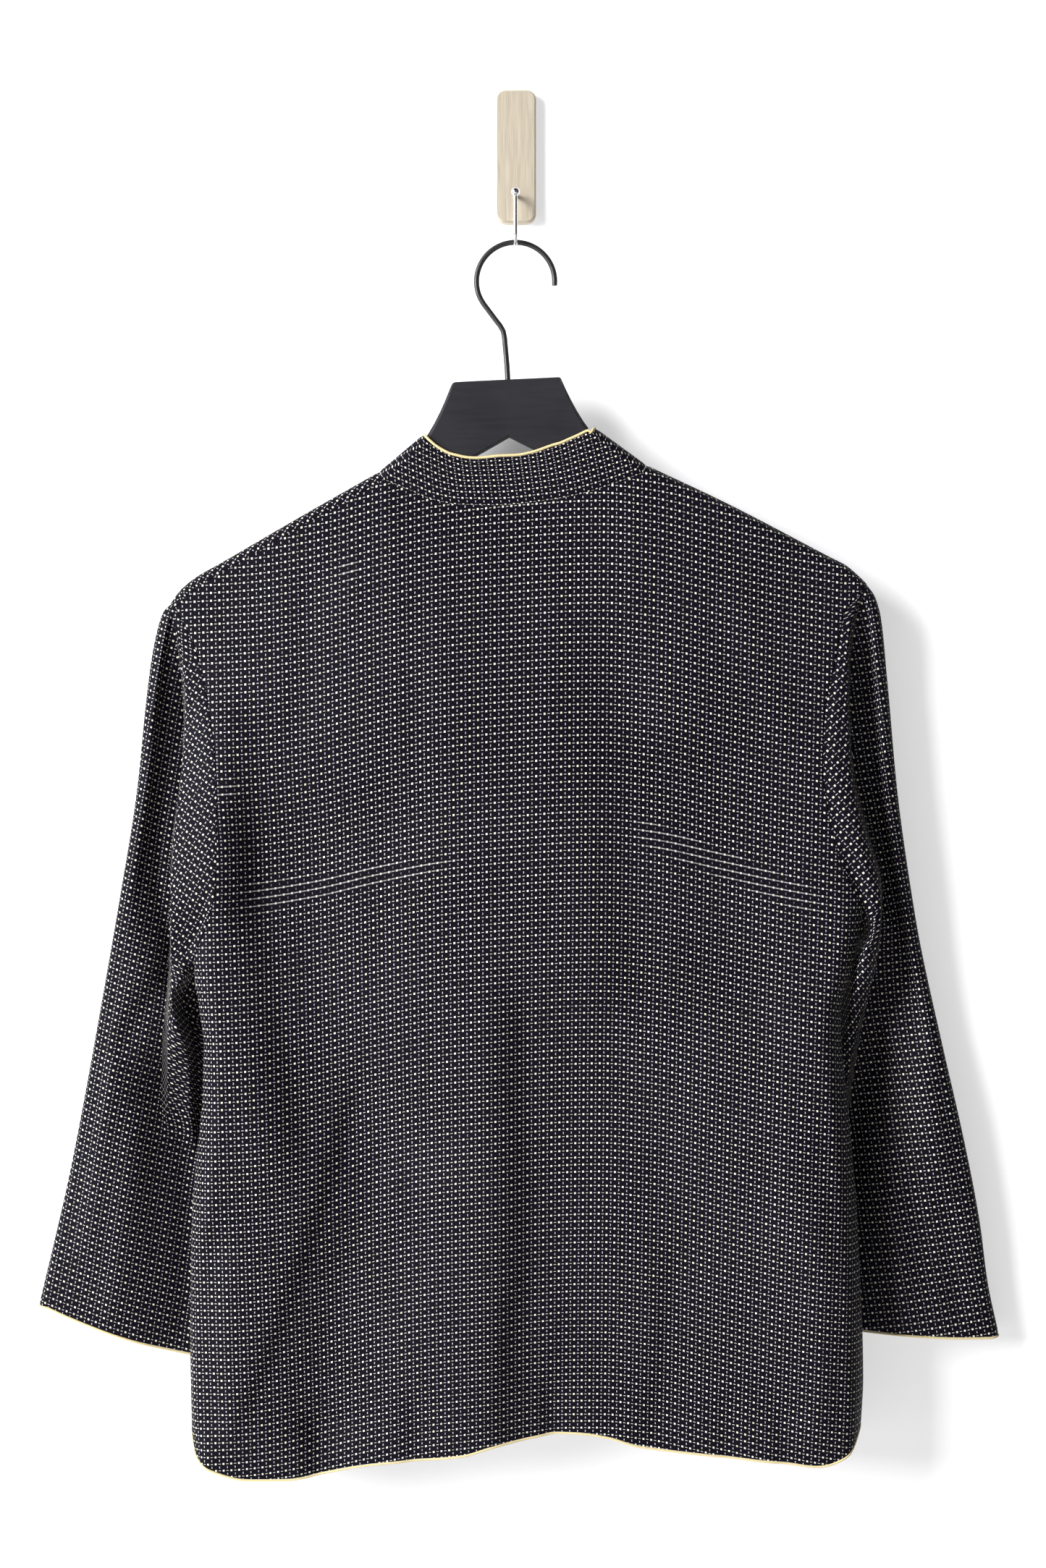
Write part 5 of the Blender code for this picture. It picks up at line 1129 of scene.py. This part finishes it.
def build_garment():
    """The panels and the cords along their edges, by the names of the nodes that they stand for."""
    back = back_sheet()
    fronts = {side.name: front_sheet(side, back) for side in (LEFT, RIGHT)}
    wraps = {side.name: shoulder_wrap(side) for side in (LEFT, RIGHT)}
    count = len(shoulder_shares())
    for side in (LEFT, RIGHT):
        fronts[side.name][:count, -1] = wraps[side.name][:, 0]
    back[:count, -1] = wraps["left"][:, -1]
    back[len(back) - count:, -1] = wraps["right"][::-1, -1]
    collar = collar_sheet(back, fronts, wraps)
    sleeves = {side.name: sleeve_sheet(side, back, fronts[side.name], wraps[side.name])
               for side in (LEFT, RIGHT)}

    room, wall, up = (0, -1, 0), (0, 1, 0), (0, 0, 1)
    everywhere = (slice(None), slice(None))
    third = collar.shape[1] // 3
    back_place = back_repeat(back)
    sheets = [("back", back, back_place, (everywhere, room)),
              ("collar", collar, collar_repeat(collar), ((slice(None), slice(third, -third)), room))]
    for side in (LEFT, RIGHT):
        front, wrap, sleeve = fronts[side.name], wraps[side.name], sleeves[side.name]
        front_place = front_repeat(front)
        sheets.append(("front_" + side.name, front, front_place, (everywhere, wall)))
        seam = side.seam_step
        out = ridge_frame(side, ridge_x(side, shoulder_shares()))[1]
        onward = onward_repeat(front_place[:count, -1], wrap[:, :seam + 1], out, FRONT_REPEAT)
        sheets.append(("front_" + side.name, wrap[:, :seam + 1], onward, (everywhere, up)))
        if seam < WRAP_STEPS:
            top = back_place[len(back) - count:, -1][::-1]
            onward = onward_repeat(top, wrap[:, seam:][:, ::-1], out, SHOULDER_REPEAT)[:, ::-1]
            sheets.append(("back", wrap[:, seam:], onward, (everywhere, up)))
        half = (slice(None), slice(0, len(SLEEVE_COLUMNS) - 2))
        sheets.append(("sleeve_" + side.name, sleeve, sleeve_repeat(side, sleeve), (half, room)))
    cloth = Cloth(sheets)

    silk, cream = silk_material(), cream_material()
    made = {label: cloth.wall(label, silk) for label in PANELS}

    edge = np.concatenate((collar[:-1, 0], collar[-1], collar[:-1, -1][::-1]))
    inside = np.concatenate((collar[:-1, 1], collar[-2, 1][None], collar[-2, 1:-1],
                             collar[-2, -2][None], collar[:-1, -2][::-1]))
    corners = (COLLAR_ROWS, len(edge) - 1 - COLLAR_ROWS)
    path, normals = edge_path(cloth, edge, inside, PIPING_RADIUS, corners)
    made["collar_piping"] = tube("collar_piping_cord", path, PIPING_RADIUS, normals, cream, EDGING_SIDES)

    left, right = fronts["left"], fronts["right"]
    edge = np.concatenate((left[-1, :0:-1], left[:0:-1, 0], back[:, 0], right[1:, 0], right[-1, 1:]))
    inside = np.concatenate((left[-2, :0:-1], left[-2, 1][None], left[-2:0:-1, 1], back[:, 1],
                             right[1:-1, 1], right[-2, 1][None], right[-2, 1:]))
    first_corner = left.shape[1] - 1
    corners = (first_corner, len(edge) - 1 - first_corner)
    path, normals = edge_path(cloth, edge, inside, EDGING_RADIUS, corners)
    made["hem_edging"] = tube("hem_edging_cord", path, EDGING_RADIUS, normals, cream, EDGING_SIDES)

    for side in (LEFT, RIGHT):
        rows = sleeves[side.name][:, :-1]
        path, normals = edge_path(cloth, rows[-1], rows[-2], EDGING_RADIUS)
        name = "cuff_edging_" + side.name
        made[name] = tube(name + "_cord", path, EDGING_RADIUS, normals, cream, EDGING_SIDES, closed=True)
    return made


def hanger_top(u, half, corner):
    """How far the hanger's top edge lies below the plate's top, at distance u from the middle."""
    width = FLARE_END - half
    t = (u - half) / width
    if t <= 0:
        drop = FLARE_START_SLOPE * (u - half)
    elif t < 1:
        drop = ((t**3 - 2 * t**2 + t) * FLARE_START_SLOPE * width + (3 * t**2 - 2 * t**3) * FLARE_DROP
                + (t**3 - t**2) * ARM_SLOPE * width)
    else:
        drop = FLARE_DROP + (u - FLARE_END) * ARM_SLOPE
    return (drop + math.hypot(drop, 2 * corner)) / 2


def hanger_section(u, sign, tip):
    """Cut through the hanger at distance u from the middle, with its upper edges bevelled."""
    half = PLATE_HALF - sign * PLATE_SET_OVER
    top = hanger_top(u, half, RIGHT_CORNER if sign > 0 else LEFT_CORNER) - sign * PLATE_LEAN * min(u, half)
    low = NOTCH_DROP + u * ARM_SLOPE
    if u > tip:
        middle = (top + low) / 2
        height = (low - top) / 2 * math.sqrt(max(0.0, 1 - ((u - tip) / (ARM_REACH - tip)) ** 2))
        top, low = middle - height, middle + height
    bevel = mix(PLATE_CHAMFER, ARM_CHAMFER, float(ease((u - half) / PLATE_CHAMFER / 4 + 0.5)))
    bevel = min(bevel, (low - top) * 0.4)
    small = min(LOW_CHAMFER, (low - top) * 0.2)
    y = WOOD_HALF
    rim = min(bevel, ARM_CHAMFER * 0.5)
    ring = ((-y + rim, top), (y - rim, top), (y, top + bevel), (y, low - small),
            (y - small, low), (-y + small, low), (-y, low - small), (-y, top + bevel))
    return [(sign * u, depth, -drop) for depth, drop in ring]


def build_hanger():
    """Flat wooden hanger with a wide neck plate and a sharp notch under it."""
    tip = ARM_REACH - ARM_DEPTH / 2
    ends = [tip + (ARM_REACH - tip) * math.sin(math.radians(turn)) for turn in TIP_TURNS]
    stations = [*HANGER_STATIONS, *ends]
    rings = [hanger_section(u, -1, tip) for u in reversed(stations)]
    middle = [[(a + b) / 2 for a, b in zip(*pair)]
              for pair in zip(hanger_section(0.0, -1, tip), hanger_section(0.0, 1, tip))]
    rings += [middle] + [hanger_section(u, 1, tip) for u in stations]
    cos, sin = math.cos(HANGER_TILT), math.sin(HANGER_TILT)
    points = [(HANGER_X + x * cos - z * sin, HANG_Y + y, PLATE_TOP_Z + x * sin + z * cos)
              for ring in rings for x, y, z in ring]
    sides = len(rings[0])
    last = (len(rings) - 1) * sides
    faces = [[here + c, here + (c + 1) % sides, here + sides + (c + 1) % sides, here + sides + c]
             for here in range(0, last, sides) for c in range(sides)]
    faces += [list(range(sides))[::-1], [last + c for c in range(sides)]]
    return face_outward(solid("hanger_wood", points, faces, wood_material(), 30.0))


def build_hooks():
    """The hanger's wire, and the wall hook with its ball end."""
    centre_x, centre_z = HOOK_CENTRE
    turns = np.radians(np.arange(*HOOK_TURNS))
    route = [(centre_x + HOOK_RADIUS * math.cos(t), HANG_Y, centre_z + HOOK_RADIUS * math.sin(t))
             for t in turns]
    route += [(point.x, HANG_Y, point.z) for point in HOOK_ROUTE]
    radii = [WIRE_RADIUS] * len(route)
    radii[0] = WIRE_RADIUS * 0.92
    hook = tube("hanger_wire", route, radii, (0, 1, 0), wire_material(), sides=16)

    seat_z = HOOK_CENTRE[1] + HOOK_RADIUS - WIRE_RADIUS - SEAM_GAP - PEG_RADIUS
    turn_z = seat_z + PEG_HALF_GAP
    front_y = HANG_Y - PEG_HALF_GAP
    path = [(0, point.y, point.z) for point in PEG_ROUTE]
    path += [(0, HANG_Y + PEG_HALF_GAP * math.cos(t), turn_z - PEG_HALF_GAP * math.sin(t))
             for t in np.radians(np.arange(0, 181, 8))]
    path += [(0, front_y, PEG_ROUTE[-1].z), (0, front_y, BALL_Z - BALL_RADIUS - 0.0010)]
    radii = [PEG_RADIUS] * len(path)
    for angle in np.radians(np.linspace(-62, 80, 18)):
        path.append((0, front_y, BALL_Z + BALL_RADIUS * math.sin(angle)))
        radii.append(BALL_RADIUS * math.cos(angle))
    peg = tube("wall_hook_wire", path, radii, (1, 0, 0), chrome_material(), sides=20)
    return hook, peg


WALL_Y, FLOOR_Z = 0.0008, -1.30
NOTCH = (-0.006, 0.0, -0.212)          # painted shade: the wall's glow is lowered round the hanger's notch, where shade falls
NOTCH_SHADE, NOTCH_REACH = (0.22, 0.50), (0.022, 0.060)
AIM = (0.0, 0.0, -0.5)                 # where the lamps point
LAMPS = (                              # name, place, width, height and watts
    ("window_light", (-4.00, -2.95, 1.10), 2.1, 2.9, 512),
    ("fill_light", (1.2, -2.6, 0.0), 1.6, 1.8, 1),
    ("rear_light", (0.0, 2.4, 0.4), 2.0, 2.0, 14),
)
SKY, SKY_STRENGTH = (0.95, 0.97, 1.0, 1), 0.07
CAMERA_PLACE = (0.0052, -1.66, -0.4484)
LENS, SENSOR = 53.16, 36.0             # in millimetres


def build_stage():
    """White wall that glows as painted light, lifting the shadows cast on it; pale floor and soft light from
    the left.
    """
    white = Nodes("wall_paint", (0.78, 0.78, 0.80), 0.9)
    # painted light: the wall glows white, so the shadows cast on it stay pale
    white.shader.inputs["Emission Color"].default_value = (1, 1, 1, 1)
    where = white.node("TexCoord").outputs["Object"]
    # painted shade: the glow drops from 0.50 to 0.22 towards the hanger's notch
    from_notch = white.node("VectorMath", {0: where, 1: NOTCH}, operation="DISTANCE").outputs[1]
    white.link(white.fade(from_notch, *NOTCH_REACH, *NOTCH_SHADE), white.shader.inputs["Emission Strength"])
    white.shader.inputs["Specular IOR Level"].default_value = 0.1
    clear = white.node("BsdfTransparent").outputs[0]
    seen = white.node("NewGeometry").outputs["Backfacing"]
    both = white.node("MixShader", {0: seen, 1: white.shader.outputs[0], 2: clear})
    white.link(both.outputs[0], white.tree.nodes["Material Output"].inputs["Surface"])
    wall = [(-4, WALL_Y, FLOOR_Z), (4, WALL_Y, FLOOR_Z), (4, WALL_Y, 2.2), (-4, WALL_Y, 2.2)]
    backdrop = solid("room_wall", wall, [[0, 1, 2, 3]], white.material)
    backdrop.visible_shadow = backdrop.visible_diffuse = False
    pale = Nodes("floor_paint", (0.80, 0.79, 0.78), 0.8)
    ground = [(-4, -4, FLOOR_Z), (4, -4, FLOOR_Z), (4, 4, FLOOR_Z), (-4, 4, FLOOR_Z)]
    solid("room_floor", ground, [[0, 1, 2, 3]], pale.material)

    def place(name, data, spot):
        obj = bpy.data.objects.new(name, data)
        bpy.context.collection.objects.link(obj)
        obj.location = spot
        return obj

    for name, spot, width, height, watts in LAMPS:
        light = bpy.data.lights.new(name, "AREA")
        light.shape, light.size, light.size_y, light.energy = "RECTANGLE", width, height, watts
        away = Vector(spot) - Vector(AIM)
        place(name, light, spot).rotation_euler = away.to_track_quat("Z", "Y").to_euler()
    world = bpy.data.worlds.new("room")
    world.use_nodes = True
    sky = world.node_tree.nodes["Background"].inputs
    sky[0].default_value, sky[1].default_value = SKY, SKY_STRENGTH
    bpy.context.scene.world = world
    bpy.context.scene.view_settings.view_transform = "Standard"

    camera = bpy.data.cameras.new("camera")
    camera.lens, camera.sensor_width = LENS, SENSOR
    eye = place("camera", camera, CAMERA_PLACE)
    eye.rotation_euler = (math.radians(90), 0, 0)
    bpy.context.scene.camera = eye


made = build_garment()
slots = [(node, piece, "silk" if node in PANELS else "cream") for node, piece in made.items()]
hook, peg = build_hooks()
slots += [("hanger_body", build_hanger(), "hanger_black"), ("hanger_hook", hook, "hanger_wire"),
          ("wall_hook", peg, "chrome")]
for node, piece, slot in slots:
    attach(piece, "root")
    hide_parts(node)
bpy.data.objects["wall_plate"].material_slots[0].material = nickel_material()

build_stage()
